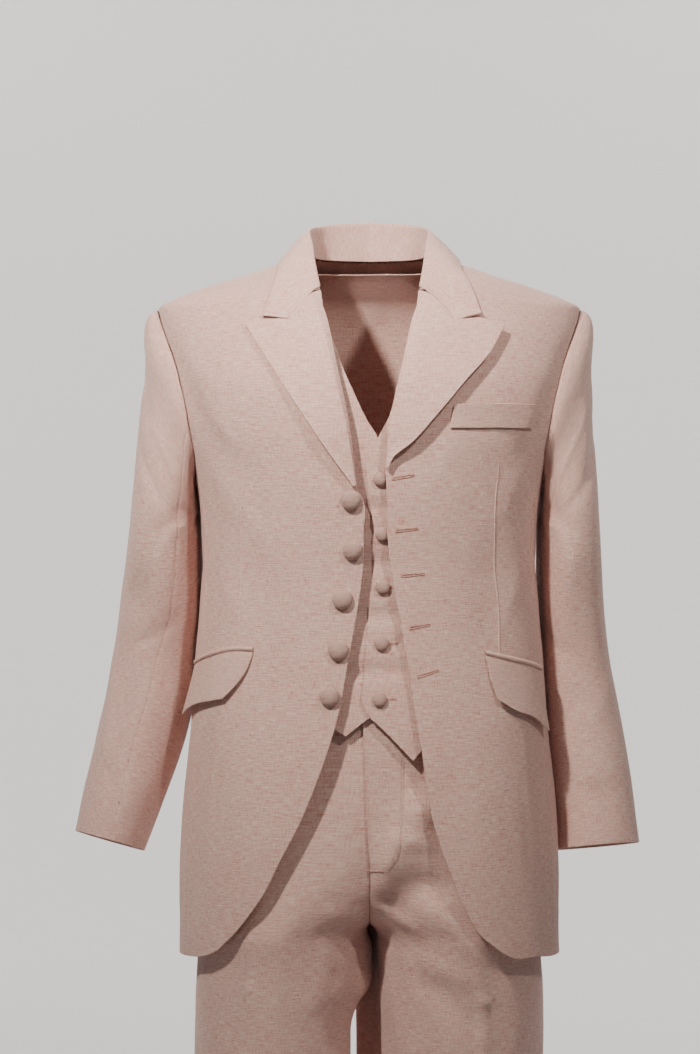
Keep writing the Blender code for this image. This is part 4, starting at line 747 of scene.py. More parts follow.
def ramp(tree, value, stops):
    """Colour ramp through (position, colour) stops."""
    node = add_node(tree, "ValToRGB", {"Fac": value})
    band = node.color_ramp
    while len(band.elements) < len(stops):
        band.elements.new(0.5)
    for element, (position, colour) in zip(band.elements, stops):
        element.position = position
        element.color = (*colour, 1.0)
    return node.outputs["Color"]


def threads(tree, vector, period, direction):
    """Even ridges of the threads."""
    values = {"Scale": 2 * math.pi / (20 * period), "Distortion": 0.6, "Detail": 1.0, "Detail Scale": 60.0}
    choices = {"wave_type": "BANDS", "bands_direction": direction}
    return add_node(tree, "TexWave", {"Vector": vector}, values, **choices).outputs["Fac"]


def new_material(name, values):
    """Node tree of a new material, and a function that finishes it with a colour and fine relief."""
    material = bpy.data.materials.new(name)
    material.use_nodes = True
    tree = material.node_tree
    shader = tree.nodes["Principled BSDF"]
    set_inputs(shader, values)

    def finish(colour, height, strength, distance):
        bump = add_node(tree, "Bump", {"Height": height}, {"Strength": strength, "Distance": distance})
        tree.links.new(colour, shader.inputs["Base Color"])
        tree.links.new(bump.outputs["Normal"], shader.inputs["Normal"])
        return material
    return tree, finish


def linen(name, slub=1.0, roughness=0.88, shade=1.0):
    """Slubbed plain weave of pale and salmon threads; shade makes it paler or darker."""
    tree, finish = new_material(name, {"Roughness": roughness, **LINEN_LOOK})
    vector = add_node(tree, "UVMap", uv_map="cloth").outputs["UV"]
    slubs = WEFT_SLUB, WARP_SLUB, LONG_SLUB
    weft, warp, coarse = [noise(tree, vector, 1.0, (*size, 1.0)) for size in slubs]
    cloud = noise(tree, vector, 11.0)
    mixed = sum_of(tree, ((weft, 0.52 * slub), (warp, 0.36 * slub), (coarse, 0.12 * slub), (cloud, 0.06)))
    middle = 0.5 * slub + 0.03
    stops = [(middle + reach, tuple(part * shade for part in colour)) for reach, colour in THREAD_COLOURS]
    across = threads(tree, vector, THREAD_PERIOD, "X")
    along = threads(tree, vector, THREAD_PERIOD * 1.12, "Y")
    height = sum_of(tree, ((across, 0.22), (along, 0.26), (weft, 0.8), (warp, 0.6), (coarse, 0.3)))
    return finish(ramp(tree, mixed, stops), height, 0.55, 0.0011)


def thread(name, colour):
    """Twisted sewing thread."""
    tree, finish = new_material(name, {"Roughness": 0.6, "Sheen Weight": 0.3})
    value = noise(tree, add_node(tree, "TexCoord").outputs["Object"], 900.0)
    stops = ((0.35, tuple(c * 0.8 for c in colour)), (0.62, colour))
    return finish(ramp(tree, value, stops), value, 0.4, 0.0003)


BODY_LINEN = linen("body_linen")
# Lapels and collar: the body's linen a tenth paler, painted light where they roll toward the lamps.
LIT_TURNED_LINEN = linen("lapel_linen", slub=0.95, shade=1.10)
PLAIN_LINEN = linen("trim_linen", slub=0.85)
# Buttons: the linen darkened to three quarters, painted shade on the domes.
SHADED_BUTTON_LINEN = linen("button_linen", slub=0.6, roughness=0.72, shade=0.74)
SEWING_THREAD = thread("sewing_thread", (0.64, 0.32, 0.26))
PALE_SEWING_THREAD = thread("pale_sewing_thread", (0.80, 0.52, 0.45))

JACKET = Trunk(JACKET_RINGS, JACKET_FOLDS)
WAISTCOAT = Trunk(JACKET_RINGS, WAISTCOAT_CREASES, WAISTCOAT_INSET)


def armhole(alpha, side):
    """Places on the armhole; alpha is 0 at the armpit, 90 at the front and 180 at the shoulder."""
    turn = np.radians(alpha)
    y = -ARMHOLE_HALF_DEPTH * np.sin(turn) * (1 + ARMHOLE_WIDENING * np.cos(turn))
    return JACKET.beside(y, ARMHOLE_MIDDLE - ARMHOLE_HALF_HEIGHT * np.cos(turn), side)


def mirrored(rows, side):
    """Angle and run rows on the given side of the wearer."""
    return np.asarray(rows, float) * (side, 1.0)


def hem_places(first, last, count, side, start=None):
    """Hem line between two angles."""
    angle = np.linspace(first, last, count + 1)
    run = smooth(HEM_LINE, 1, angle)
    if start is not None:
        run = run + (start - run[0]) * np.clip(1 - (angle - first) / HEM_FADE_ANGLE, 0, 1) ** 2
    return np.stack((side * angle, run), -1)


FRONT_STATIONS = np.linspace(ARMHOLE_SIDE_ANGLE, 180.0, ARMHOLE_ROWS + 1)
UNDER_STATIONS = np.linspace(-ARMHOLE_SIDE_ANGLE, ARMHOLE_SIDE_ANGLE, SIDE_COLUMNS + 1)


def seam_line(rows, side, corner):
    """Side seam from the hem to a corner on the armhole."""
    line = rounded(join(mirrored(rows, side), [corner, corner])[: len(rows) + 1], SEAM_ROWS)
    line[0, 1] = smooth(HEM_LINE, 1, abs(line[0, 0]))
    return line


class Sleeve:
    """Places are alpha round the sleeve, 0 inside and 90 in front, and a share of its length."""

    def __init__(self, side):
        self.side = side
        rows = np.asarray(SLEEVE_RINGS[side], float)
        self.middle = np.stack((side * (rows[:, 1] + rows[:, 2]) / 2, rows[:, 3], rows[:, 0]), -1)
        self.half = np.stack(((rows[:, 1] - rows[:, 2]) / 2, rows[:, 4]), -1)
        along = unit(np.gradient(self.middle, axis=0))
        self.out = unit(np.array((side, 0.0, 0.0)) - along * (along[:, :1] * side))
        deep = np.cross(along, self.out) * side
        self.deep = deep * np.sign(deep[:, 1:2])

    def ring(self, k, alpha):
        swing = SEAM_SWINGS[self.side][k] * np.exp(-(((alpha - SLEEVE_SEAM_ANGLE) / SWING_SPREAD) ** 2))
        turn = np.radians(alpha + swing)[..., None]
        wide, deep = self.half[k]
        return (self.middle[k] - power(np.cos(turn), RING_POWER) * wide * self.out[k]
                - power(np.sin(turn), RING_POWER) * deep * self.deep[k])

    def bare(self, alpha, share):
        place = armhole(alpha, self.side)
        start = JACKET.at(place, SLEEVE_SIT)
        normal = JACKET.outward(place[..., 0], place[..., 1])
        first = self.ring(0, alpha)
        outward = np.array((self.side, 0.0, 0.0))
        lean = ((1 - np.cos(np.radians(alpha))) / 2)[..., None]
        cap = start + (first - start) * CAP_SHARE + outward * CAP_BULGE * np.sqrt(lean)
        points = [start, cap] + [self.ring(k, alpha) for k in range(len(self.middle))]
        way = unit(normal * (1 - CAP_LEAN * lean) + outward * CAP_LEAN * lean)
        tangents = [way * (0.010 + 0.060 * lean) + (first - start) * 0.12, (points[2] - points[0]) * 0.42]
        tangents += [(after - before) / 2 for before, after in zip(points[1:-2], points[3:])]
        tangents.append(points[-1] - points[-2])
        knots = np.concatenate((CAP_KNOTS, np.linspace(CAP_KNOTS[-1], 1.0, len(self.middle))[1:]))
        piece = np.clip(np.searchsorted(knots, share, side="right") - 1, 0, len(knots) - 2)
        out = np.zeros(np.broadcast(alpha, share).shape + (3,))
        for k in range(len(knots) - 1):
            t = ((share - knots[k]) / (knots[k + 1] - knots[k]))[..., None]
            t1 = tangents[k + 1]
            if k == 1:
                span = np.linalg.norm(first - start, axis=-1, keepdims=True)
                t1 = unit(points[3] - points[1]) * span * (1 - CAP_SHARE)
            value = hermite(points[k], points[k + 1], tangents[k], t1, t)
            out = np.where((piece == k)[..., None], value, out)
        return out

    def at(self, place):
        alpha, share = place[..., 0], place[..., 1]
        da, ds = 1.5, 0.004
        round_way = self.bare(alpha + da, share) - self.bare(alpha - da, share)
        down_way = self.bare(alpha, np.clip(share + ds, 0, 1)) - self.bare(alpha, np.clip(share - ds, 0, 1))
        out = unit(np.cross(down_way, round_way)) * self.side
        turned = (alpha + 180.0) % 360.0 - 180.0
        turned = np.where(turned < -175.0, turned + 360.0, turned)
        fold = fold_height(SLEEVE_FOLDS[self.side], turned, share, SLEEVE_ARC, SLEEVE_LENGTH)
        fold = fold * np.clip(share / 0.06, 0, 1) * (0.35 + 0.65 * np.clip((1 - share) / 0.10, 0, 1))
        return self.bare(alpha, share) + out * fold[..., None]


def gorge_places(side, shares):
    """Top edge of a lapel: the gorge seam for the first half of the shares, the notch for the rest."""
    across = join(resample(JACKET.seen(GORGE[side]), 20), resample(JACKET.seen(NOTCH[side]), 20))
    return np.stack([np.interp(shares, np.linspace(0, 1, 41), column) for column in across.T], -1)


def lapel_places(side, rows, shares):
    """Lapel places; rows run from the break of the roll line up to the gorge."""
    roll = rounded(JACKET.seen(ROLL[side][:-2]), 60)
    roll = resample(roll[roll[:, 1] <= JACKET.run_of(GORGE[side][0][1])], rows)
    outer = rounded(JACKET.seen(LAPEL_EDGE[side]), rows)
    top = gorge_places(side, shares)
    bottom = roll[0] + (0.0, 0.003) + shares[:, None] * np.array((side * 0.7, 0.0))
    roll[0], outer[0] = bottom[0], bottom[-1]
    roll[-1], outer[-1] = top[0], top[-1]
    return fill(roll, outer, bottom, top)


def lapel_lift(side, rows, shares):
    """Height of a lapel above its front: a soft roll, lower where the lapel starts."""
    v = np.linspace(0, 1, rows + 1)[:, None]
    near = np.exp(-v / 0.15)
    low = 0.0028 + 0.0012 * shares
    rolled = np.interp(shares, LAPEL_SHARES, LAPEL_LIFTS[side]) * (1 - near) + low * near
    standing = LAPEL_STAND[side] * np.exp(-(((v - LAPEL_STAND_PLACE) / LAPEL_STAND_REACH) ** 2)) * shares
    return rolled + standing + LAPEL_EDGE_STAND * shares**3


def collar_half(side, rows):
    """Grid of one half of the collar from its notch to the centre back."""
    table = np.asarray(COLLAR_ROWS)
    crest = table[:, 1:4] * (side, 1.0, 1.0)
    base = table[:, 4:7] * (side, 1.0, 1.0)
    outer = np.concatenate((JACKET.seen(COLLAR_OUTER[side]), mirrored(COLLAR_BACK, side)))
    edge = JACKET.at(outer, np.full(len(outer), COLLAR_LIFT))
    middle = crest * 0.42 + edge * 0.58
    middle[1:, 2] += 0.003
    middle[0] = JACKET.at(JACKET.seen([GORGE[side][-1]]), np.array([COLLAR_LIFT + 0.001]))[0]
    at = np.linspace(0, 1, rows + 1)
    base, crest, middle, edge = (
        smooth_lines(np.column_stack((table[:, 0], line)), at) for line in (base, crest, middle, edge)
    )
    puff = np.array((0.0, 0.0, 0.0014))
    grid = np.stack((base, base * 0.45 + crest * 0.55 + unit(base - edge) * 0.001, crest,
                     crest * 0.62 + middle * 0.38 + puff, crest * 0.25 + middle * 0.75 + puff * 0.4, middle,
                     middle * 0.5 + edge * 0.5 + puff * 0.3, edge), 1)
    places = gorge_places(side, COLLAR_SHARES[:6])
    tip = JACKET.seen([COLLAR_OUTER[side][0]])
    places = np.concatenate((places, (places[-1:] + tip) / 2, tip))
    grid[0] = JACKET.at(places, np.interp(COLLAR_SHARES, LAPEL_SHARES, LAPEL_LIFTS[side]))
    return grid


class Leg:
    """One trouser leg; places are an angle from its front, positive outward, and a height."""

    def __init__(self, side):
        self.side = side

    def inner_angle(self, height):
        """Angle of the inner edge in front, as a positive number of degrees."""
        wide, middle = (smooth(TROUSER_RINGS, k, height) for k in (1, 2))
        share = np.clip(middle / (wide - middle), 0, 1)
        return np.where(height <= TROUSER_CROTCH, 90.0, np.degrees(np.arcsin(share ** (ROUNDNESS / 2))))

    def bare(self, angle, height):
        wide, middle, front, back, centre = (smooth(TROUSER_RINGS, k, height) for k in (1, 2, 3, 4, 5))
        turn = np.radians(angle)
        crease = smooth(CREASE_ROWS, 1, height)
        ridge = np.exp(-np.abs(angle) / CREASE_WIDTH) + np.exp(-np.abs(angle - 180.0) / CREASE_WIDTH)
        depths = [depth - crease * 0.5 + crease * ridge for depth in (front, back)]
        x, y = oval(turn, wide - middle, *depths)
        x = middle + x + smooth(INNER_SWING[self.side], 1, height) * np.clip(-np.sin(turn), 0, 1) ** 2
        past = (angle + 180.0) % 360.0 - 180.0 - BACK_FOLD_ANGLE
        breadth = np.where(past > 0, *BACK_FOLD_BREADTH)
        x = x - smooth(BACK_FOLD[self.side], 1, height) * np.exp(-((past / breadth) ** 2))
        return np.stack(np.broadcast_arrays(self.side * x, centre + y, height), -1)

    def at(self, place):
        angle, height = place[..., 0], place[..., 1]
        da, dh = 3.0, 0.004
        round_way = self.bare(angle + da, height) - self.bare(angle - da, height)
        up_way = self.bare(angle, height + dh) - self.bare(angle, height - dh)
        out = unit(np.cross(round_way, up_way)) * self.side
        edge = self.inner_angle(height)
        inner = np.minimum(np.abs(angle + edge), np.abs(180 + edge - angle))
        fold = fold_height(TROUSER_FOLDS[self.side], angle, height, LEG_ARC) * np.clip(inner / 8.0, 0, 1)
        return self.bare(angle, height) + out * fold[..., None]


# Jacket body: the same edge lines as the solids, with many more rows.
for side in (-1, 1):
    word = SIDE_NAME[side]
    front_seam = seam_line(FRONT_SIDE_SEAM, side, armhole(ARMHOLE_SIDE_ANGLE, side))
    back_seam = seam_line(BACK_SIDE_SEAM, side, armhole(-ARMHOLE_SIDE_ANGLE, side))
    edge_rows = rounded(JACKET.seen(EDGE[side]), SEAM_ROWS)
    cut_roll = np.asarray(ROLL[side], float) + (side * ROLL_CUT, 0.0)
    cut_roll[0] = EDGE[side][-1]
    roll_rows = rounded(JACKET.seen(cut_roll), ARMHOLE_ROWS)
    roll_rows[-1] = (side * abs(roll_rows[-1, 0]), NECK_RUN)
    shoulder_end, nape = (side * 90.0, NECK_RUN), (side * 180.0, NECK_RUN)

    outer_line = join(front_seam, armhole(FRONT_STATIONS, side))
    bottom = hem_places(abs(edge_rows[0, 0]), abs(front_seam[0, 0]), FRONT_COLUMNS, side, edge_rows[0, 1])
    neck = resample((roll_rows[-1], shoulder_end), FRONT_COLUMNS - SHOULDER_COLUMNS)
    shoulder = resample((shoulder_end, outer_line[-1]), SHOULDER_COLUMNS)
    places = fill(join(edge_rows, roll_rows), outer_line, bottom, join(neck, shoulder))
    cloth_piece("jacket_front_" + word, on_trunk(JACKET, places), BODY_LINEN, sewn="rt", seed=3 + side)

    bottom = hem_places(abs(front_seam[0, 0]), abs(back_seam[0, 0]), SIDE_COLUMNS, side)
    places = fill(front_seam, back_seam, bottom, armhole(UNDER_STATIONS[::-1], side))
    cloth_piece("jacket_side_" + word, on_trunk(JACKET, places), BODY_LINEN, sewn="lrt", seed=13 + side)

    outer_line = join(back_seam, armhole(-FRONT_STATIONS, side))
    bottom = hem_places(abs(back_seam[0, 0]), 180.0, BACK_COLUMNS, side)
    centre_rows = resample(((side * 180.0, bottom[-1, 1]), nape), SEAM_ROWS + ARMHOLE_ROWS)
    shoulder = resample((outer_line[-1], shoulder_end), SHOULDER_COLUMNS)
    neck = resample((shoulder_end, nape), BACK_COLUMNS - SHOULDER_COLUMNS)
    places = fill(outer_line, centre_rows, bottom, join(shoulder, neck))
    cloth_piece("jacket_back_" + word, on_trunk(JACKET, places), BODY_LINEN, sewn="lrt", seed=23 + side)

# Sleeves.
FRONT_TO_TOP = np.array([a for a in FRONT_STATIONS if a >= SLEEVE_SEAM_ANGLE - 0.01])
EDGE_TO_SEAM = np.array([a for a in FRONT_STATIONS if a <= SLEEVE_SEAM_ANGLE + 0.01])
SLEEVE_PARTS = {
    "upper": np.concatenate((FRONT_TO_TOP, 360.0 - FRONT_TO_TOP[::-1][1:])),
    "under": np.concatenate((-EDGE_TO_SEAM[::-1], UNDER_STATIONS[1:-1], EDGE_TO_SEAM)),
}
share_rows = np.linspace(0, 1, SLEEVE_ROWS + 1)[::-1] ** SLEEVE_ROW_POWER
for side in (-1, 1):
    for label, stations in SLEEVE_PARTS.items():
        alpha, share = np.meshgrid(stations, share_rows)
        points = Sleeve(side).at(np.stack((alpha, share), -1))
        away = side * 0.02 if label == "upper" else side * -0.02
        normals = grid_normals(points, points - points.mean(axis=1, keepdims=True) + (away, 0.0, 0.0))
        grid = points, normals, np.stack((alpha * SLEEVE_ARC, -share * SLEEVE_LENGTH), -1)
        name = f"jacket_sleeve_{label}_{SIDE_NAME[side]}"
        cloth_piece(name, grid, BODY_LINEN, sewn="lrt", seed=SLEEVE_SEED + side)

# Lapels.
TURNED = {"held": "folded", "pull": TURNED_PULL, "wall": THIN_WALL}
for side in (-1, 1):
    shares = np.linspace(0.0, 1.0, LAPEL_COLUMNS + 1)
    places = lapel_places(side, LAPEL_ROWS, shares)
    points, normals, uv = on_trunk(JACKET, places, lapel_lift(side, LAPEL_ROWS, shares))
    # The roll runs on into the collar without a step.
    near_top = np.clip((points[..., 2] - ROLL_TOP) / ROLL_TOP_SPAN, 0, 1)
    near_top = near_top * np.exp(-((shares / ROLL_TOP_BREADTH) ** 2))
    grid = points - np.multiply.outer(ROLL_TOP_SHIFT * near_top, (side, 0.0, 0.0)), normals, uv
    cloth_piece("jacket_lapel_" + SIDE_NAME[side], grid, LIT_TURNED_LINEN, sewn="t", seed=3 + side, **TURNED)

# Collar: the eight lines of the solid, run through by a smooth line.
halves = [collar_half(side, COLLAR_HALF_ROWS) for side in (-1, 1)]
lines = np.concatenate((halves[0], halves[1][::-1][1:]))
at = np.linspace(0.0, 1.0, COLLAR_COLUMNS + 1)
points = np.stack([smooth_lines(np.column_stack((COLLAR_LINES, row)), at) for row in lines])
over = unit(np.cross(np.gradient(points, axis=1), np.gradient(points, axis=0)))
over = over * np.sign(over[COLLAR_HALF_ROWS, COLLAR_COLUMNS // 2, 2])
uv = np.stack(np.meshgrid(lengths(points[COLLAR_HALF_ROWS]), lengths(points[:, -1])), -1)
cloth_piece("jacket_collar", (points, over, uv), LIT_TURNED_LINEN, sewn="bt", seed=51, **TURNED)

# Hip pockets.
for side in (-1, 1):
    word = SIDE_NAME[side]
    top = rounded(JACKET.seen(FLAP_TOP[side]), FLAP_COLUMNS)
    foot = rounded(JACKET.seen(FLAP_FOOT[side]), FLAP_COLUMNS)
    near = resample((foot[0], top[0]), FLAP_ROWS)
    near[:, 0] -= side * np.sin(np.linspace(0, math.pi, FLAP_ROWS + 1)) * FLAP_BOW[side]
    places = fill(near, resample((foot[-1], top[-1]), FLAP_ROWS), foot, top)
    down = np.linspace(1, 0, FLAP_ROWS + 1)[:, None] ** 1.3
    across = np.linspace(0, 1, FLAP_COLUMNS + 1)[None, :]
    seat, low, tip = FLAP_LIFT[side]
    grid = on_trunk(JACKET, places, seat + down * (low - seat + (tip - low) * across**1.5))
    form = {"sewn": "t", "pull": 0.0, "wall": THIN_WALL, "seed": 3 + side}
    cloth_piece("jacket_flap_" + word, grid, PLAIN_LINEN, held="hung", **form)
    rise = np.stack((np.zeros(PIPING_ROWS), np.linspace(0, PIPING_HEIGHT, PIPING_ROWS)), -1)
    roll = np.sin(np.linspace(0.25, math.pi - 0.25, PIPING_ROWS))[:, None] * np.ones(across.shape)
    lift = LAY_GAP + PIPING_WALL * 0.5 + roll * PIPING_ROLL
    grid = on_trunk(JACKET, top[None] + rise[:, None] + (0.0, 0.0006), lift)
    cloth_piece("jacket_piping_" + word, grid, PLAIN_LINEN, held="folded", wall=PIPING_WALL, seed=3 + side)

# Breast pocket welt.
top, foot = (resample(JACKET.seen(line), WELT_COLUMNS) for line in (WELT_TOP, WELT_FOOT))
places = fill(*(resample((foot[k], top[k]), WELT_ROWS) for k in (0, -1)), foot, top)
standing = np.linspace(0, 1, WELT_ROWS + 1)[:, None] ** 2 * np.ones((1, WELT_COLUMNS + 1))
grid = on_trunk(JACKET, places, WELT_LIFT + THIN_WALL + WELT_STAND * standing)
cloth_piece("jacket_welt", grid, PLAIN_LINEN, held="stretched", wall=THIN_WALL, seed=4)

# Waistcoat.
for side in (-1, 1):
    over = OVERLAP_LIFT if side == 1 else 0.0
    edge_rows = resample(WAISTCOAT.seen(WAISTCOAT_EDGE[side][1:]), W_ROWS_LOW)
    neck_rows = rounded(WAISTCOAT.seen(WAISTCOAT_NECK[side]), W_ROWS_HIGH)
    neck_rows[-1] = (side * 90.0, WAISTCOAT_NECK_RUN)
    seam_ends = (side * 90.0, WAISTCOAT_SIDE_FOOT), (side * 90.0, WAISTCOAT_UNDERARM)
    side_seam = resample(seam_ends, W_ROWS_LOW)
    outer_line = join(side_seam, rounded(mirrored(WAISTCOAT_ARMHOLE, side), W_ROWS_HIGH))
    point = WAISTCOAT.seen([WAISTCOAT_EDGE[side][0]])[0]
    hem = np.vstack((WAISTCOAT.seen(WAISTCOAT_HEM[side]), side_seam[:1]))
    tip_columns = W_COLUMNS * 2 // 7
    low_line = join(resample((edge_rows[0], point), tip_columns), rounded(hem, W_COLUMNS - tip_columns))
    shoulder = resample(((side * 90.0, WAISTCOAT_NECK_RUN), (side * 90.0, WAISTCOAT_TIP_RUN)), W_COLUMNS)
    places = fill(join(edge_rows, neck_rows), outer_line, low_line, shoulder)
    lift = over * (1 - np.clip((np.abs(places[..., 0]) - 12.0) / 30.0, 0, 1))
    form = {"sewn": "t", "wall": THIN_WALL, "seed": 63 + side}
    cloth_piece("waistcoat_front_" + SIDE_NAME[side], on_trunk(WAISTCOAT, places, lift), BODY_LINEN, **form)

half = rounded(np.array(WAISTCOAT_ARMHOLE) * (-1, 1) + (180.0, 0.0), W_ROWS_HIGH)
side_seam = resample(((90.0, WAISTCOAT_SIDE_FOOT), (90.0, WAISTCOAT_UNDERARM)), W_ROWS_LOW)
left_line = join(side_seam, half)
right_line = left_line * (-1, 1) + (360.0, 0.0)
foot_angle = np.linspace(90.0, 270.0, 2 * W_COLUMNS + 1)
bottom = np.stack((foot_angle, WAISTCOAT_SIDE_FOOT + 0.006 * np.sin(np.radians(foot_angle - 90))), -1)
strap = W_COLUMNS // 2
shoulder = resample((left_line[-1], (90.0, WAISTCOAT_NECK_RUN)), strap)
neck = resample(((90.0, WAISTCOAT_NECK_RUN), (270.0, WAISTCOAT_NECK_RUN)), 2 * (W_COLUMNS - strap))
top = join(shoulder, neck, shoulder[::-1] * (-1, 1) + (360.0, 0.0))
grid = on_trunk(WAISTCOAT, fill(left_line, right_line, bottom, top))
cloth_piece("waistcoat_back", grid, BODY_LINEN, wall=THIN_WALL, seed=67)


# Trousers.
def leg_rows():
    """Heights of the rows: close together round the crotch."""
    rows = [np.linspace(a, b, 8)[:-1] for a, b in zip(LEG_ROW_HEIGHTS[:-1], LEG_ROW_HEIGHTS[1:])]
    near = TROUSER_CROTCH + np.array(CROTCH_ROWS)
    rows = np.unique(np.round(np.concatenate(rows + [near, [LEG_ROW_HEIGHTS[-1]]]), 5))
    return rows[np.concatenate(([True], np.diff(rows) > 0.0004))]


heights = leg_rows()
for side in (-1, 1):
    leg = Leg(side)
    inner = leg.inner_angle(heights)[:, None]
    for label, first, last in (("front", -inner, 90.0), ("back", 90.0, 180.0 + inner)):
        angle = first + (last - first) * np.linspace(0, 1, LEG_COLUMNS + 1)[None, :]
        places = np.stack((angle, heights[:, None] * np.ones_like(angle)), -1)
        points = leg.at(places)
        points[heights >= TROUSER_CROTCH, 0 if label == "front" else -1, 0] = 0.0
        turn = np.radians(angle)
        normals = grid_normals(points, np.stack((side * np.sin(turn), -np.cos(turn), 0 * turn), -1))
        grid = points, normals, places * (LEG_ARC, 1.0)
        form = {"sewn": "lrt", "seed": 73 + side + len(label)}
        cloth_piece(f"trousers_{label}_{SIDE_NAME[side]}", grid, BODY_LINEN, held="hung", **form)

# Waistband, which leans inward; angle 0 is the front.
angle, height = np.meshgrid(np.linspace(0.0, 360.0, 181), np.linspace(TROUSER_TOP + 0.0006, BAND_TOP, 13))
lean = (height - TROUSER_TOP) * BAND_LEAN
ring = oval(np.radians(angle), *(smooth(TROUSER_RINGS, k, TROUSER_TOP) - lean for k in (1, 3, 4)))
points = np.stack((*ring, height), -1)
normals = grid_normals(points, points - (0.0, 0.0, TROUSER_TOP))
grid = points, normals, np.stack((angle * ARC_PER_DEGREE, height), -1)
cloth_piece("trousers_waistband", grid, BODY_LINEN, held="stretched", sewn="lr", seed=81)


# Fly: its free edge lies over the wearer's right front, and it runs out flat at the curved stitching.
def trouser_front(x, height):
    """Point of the trousers' front face at x and height, on whichever leg stands further forward."""
    faces = []
    for side in (-1, 1):
        wide, middle = (smooth(TROUSER_RINGS, k, height) for k in (1, 2))
        share = np.clip((side * x - middle) / (wide - middle), -0.999, 0.999)
        angle = np.degrees(np.arcsin(np.abs(share) ** (ROUNDNESS / 2))) * np.sign(share)
        faces.append(Leg(side).at(np.stack(np.broadcast_arrays(angle, height), -1))[..., 1])
    return np.stack(np.broadcast_arrays(x, np.minimum(*faces), height), -1)


height = np.linspace(FLY_EDGE[0][0], FLY_EDGE[-1][0], 64)[:, None]
near = smooth(FLY_EDGE, 1, height)
far = smooth(FLY_EDGE, 2, height) + 0.003
share = np.linspace(0.0, 1.0, 19)[None, :]
x = near + (far - near) * share
stand = 0.0026 + 0.0014 * np.exp(-share / 0.16) - 0.0024 * share**3
points = trouser_front(x, height * np.ones_like(x)) + FORWARD * stand[..., None]
grid = points, grid_normals(points, FORWARD), points[..., ::2]
cloth_piece("trousers_fly", grid, BODY_LINEN, held="stretched", wall=THIN_WALL, seed=83)


def surface_of(trunk, lift, seed):
    """Function from x and height to a point and an outward direction on the trunk's cloth."""
    def find(x, height):
        place = trunk.seen([(x, height)])[0]
        out = trunk.outward(place[0], place[1])
        point = trunk.at(place, lift)
        return point + out * ripple(point, seed), out
    return find


# Covered buttons: cloth drawn over a domed shell, gathered under its edge.
BUTTON_PROFILE = (
    # share of the radius, share of the height, from the middle of the dome to the shank
    (0.00, 1.000), (0.16, 0.992), (0.34, 0.955), (0.52, 0.885), (0.68, 0.780), (0.81, 0.650),
    (0.91, 0.505), (0.975, 0.360), (1.00, 0.235), (0.985, 0.120), (0.93, 0.040), (0.80, 0.000),
    (0.45, 0.010), (0.30, -0.060), (0.28, -0.180),
)
BUTTON_SIDES = 56
BUTTON_SEAT = 0.0006
# Depth of the gathers, and how many of both kinds go round a button.
PLEAT_DEPTH = 0.020
PLEATS = (14, 9)


def covered_button(name, find, spot, size, seed):
    """Button at a spot given as x and height, on the cloth that find looks up."""
    radius, rise = size
    centre, out = find(*spot)
    right = unit(np.cross((0.0, 0.0, 1.0), out))
    up = np.cross(out, right)
    draw = np.random.default_rng(seed)
    turn = np.linspace(0, 2 * math.pi, BUTTON_SIDES, endpoint=False)
    gather = PLEAT_DEPTH * sum(0.5 * np.sin(turn * count + draw.uniform(0, 6)) for count in PLEATS)
    verts, faces, uv = [centre + out * rise], [], [(0.0, 0.0)]
    for k, (share, height) in enumerate(BUTTON_PROFILE[1:], 1):
        reach = radius * share * (1 + gather * np.clip((k - 6) / 4, 0, 1) * (k < 12))
        along = centre + out * (rise * height)
        verts.extend(along + right * (np.cos(turn) * reach)[:, None] + up * (np.sin(turn) * reach)[:, None])
        distance = radius * (share + (k > 8) * (k - 8) * 0.06)
        uv.extend(np.stack((np.cos(turn), np.sin(turn)), -1) * distance)
    last = len(verts) - BUTTON_SIDES
    verts.append(centre - out * 0.0002)
    uv.append((0.0, 0.0))
    ring = range(BUTTON_SIDES)
    for j in ring:
        after = (j + 1) % BUTTON_SIDES
        faces.append((0, 1 + j, 1 + after))
        for a in range(1, last, BUTTON_SIDES):
            b = a + BUTTON_SIDES
            faces.append((a + j, b + j, b + after, a + after))
    faces += [(last + j, len(verts) - 1, last + (j + 1) % BUTTON_SIDES) for j in ring]
    dress(mesh_piece(name + "_cover", verts, faces, uv), SHADED_BUTTON_LINEN, name)


# Kind, trunk, height above it, seed of the cloth's unevenness, places, size and first seed of each set.
for kind, trunk, lift, under, spots, size, seed in (
    ("jacket", JACKET, 0.0, 2, JACKET_BUTTONS, JACKET_BUTTON, 91),
    ("waistcoat", WAISTCOAT, OVERLAP_LIFT, 64, WAISTCOAT_BUTTONS, WAISTCOAT_BUTTON, 101),
):
    find = surface_of(trunk, lift + BUTTON_SEAT, under)
    for k, spot in enumerate(spots):
        covered_button(f"{kind}_button_{k + 1}", find, spot, size, seed + k)

# Sewing. Every stitch is a short thread that dips into the cloth at both ends.
STITCH_SIDES = 5
# Share of the way, height and thickness.
STITCH_PROFILE = (
    (0.0, -0.9, 0.55), (0.18, 0.45, 0.95), (0.5, 0.85, 1.0), (0.82, 0.45, 0.95), (1.0, -0.9, 0.55),
)


def stitch_mesh(name, stitches, radius, material):
    """One mesh of many stitches, each given as (start, end, outward direction, thickness share)."""
    verts, faces = [], []
    turns = [2 * math.pi * k / STITCH_SIDES for k in range(STITCH_SIDES)]
    for start, end, out, thick in stitches:
        side = unit(np.cross(out, unit(end - start)))
        base = len(verts)
        for share, rise, swell in STITCH_PROFILE:
            middle = start + (end - start) * share + out * rise * radius * thick
            reach = radius * thick * swell
            verts += [middle + side * math.cos(a) * reach + out * math.sin(a) * reach for a in turns]
        rings = [tuple(range(k, k + STITCH_SIDES)) for k in range(base, len(verts), STITCH_SIDES)]
        for low, high in zip(rings[:-1], rings[1:]):
            for k in range(STITCH_SIDES):
                after = (k + 1) % STITCH_SIDES
                faces.append((low[k], low[after], high[after], high[k]))
        faces += [rings[0][::-1], rings[-1]]
    dress(mesh_piece(name, verts, faces), material)


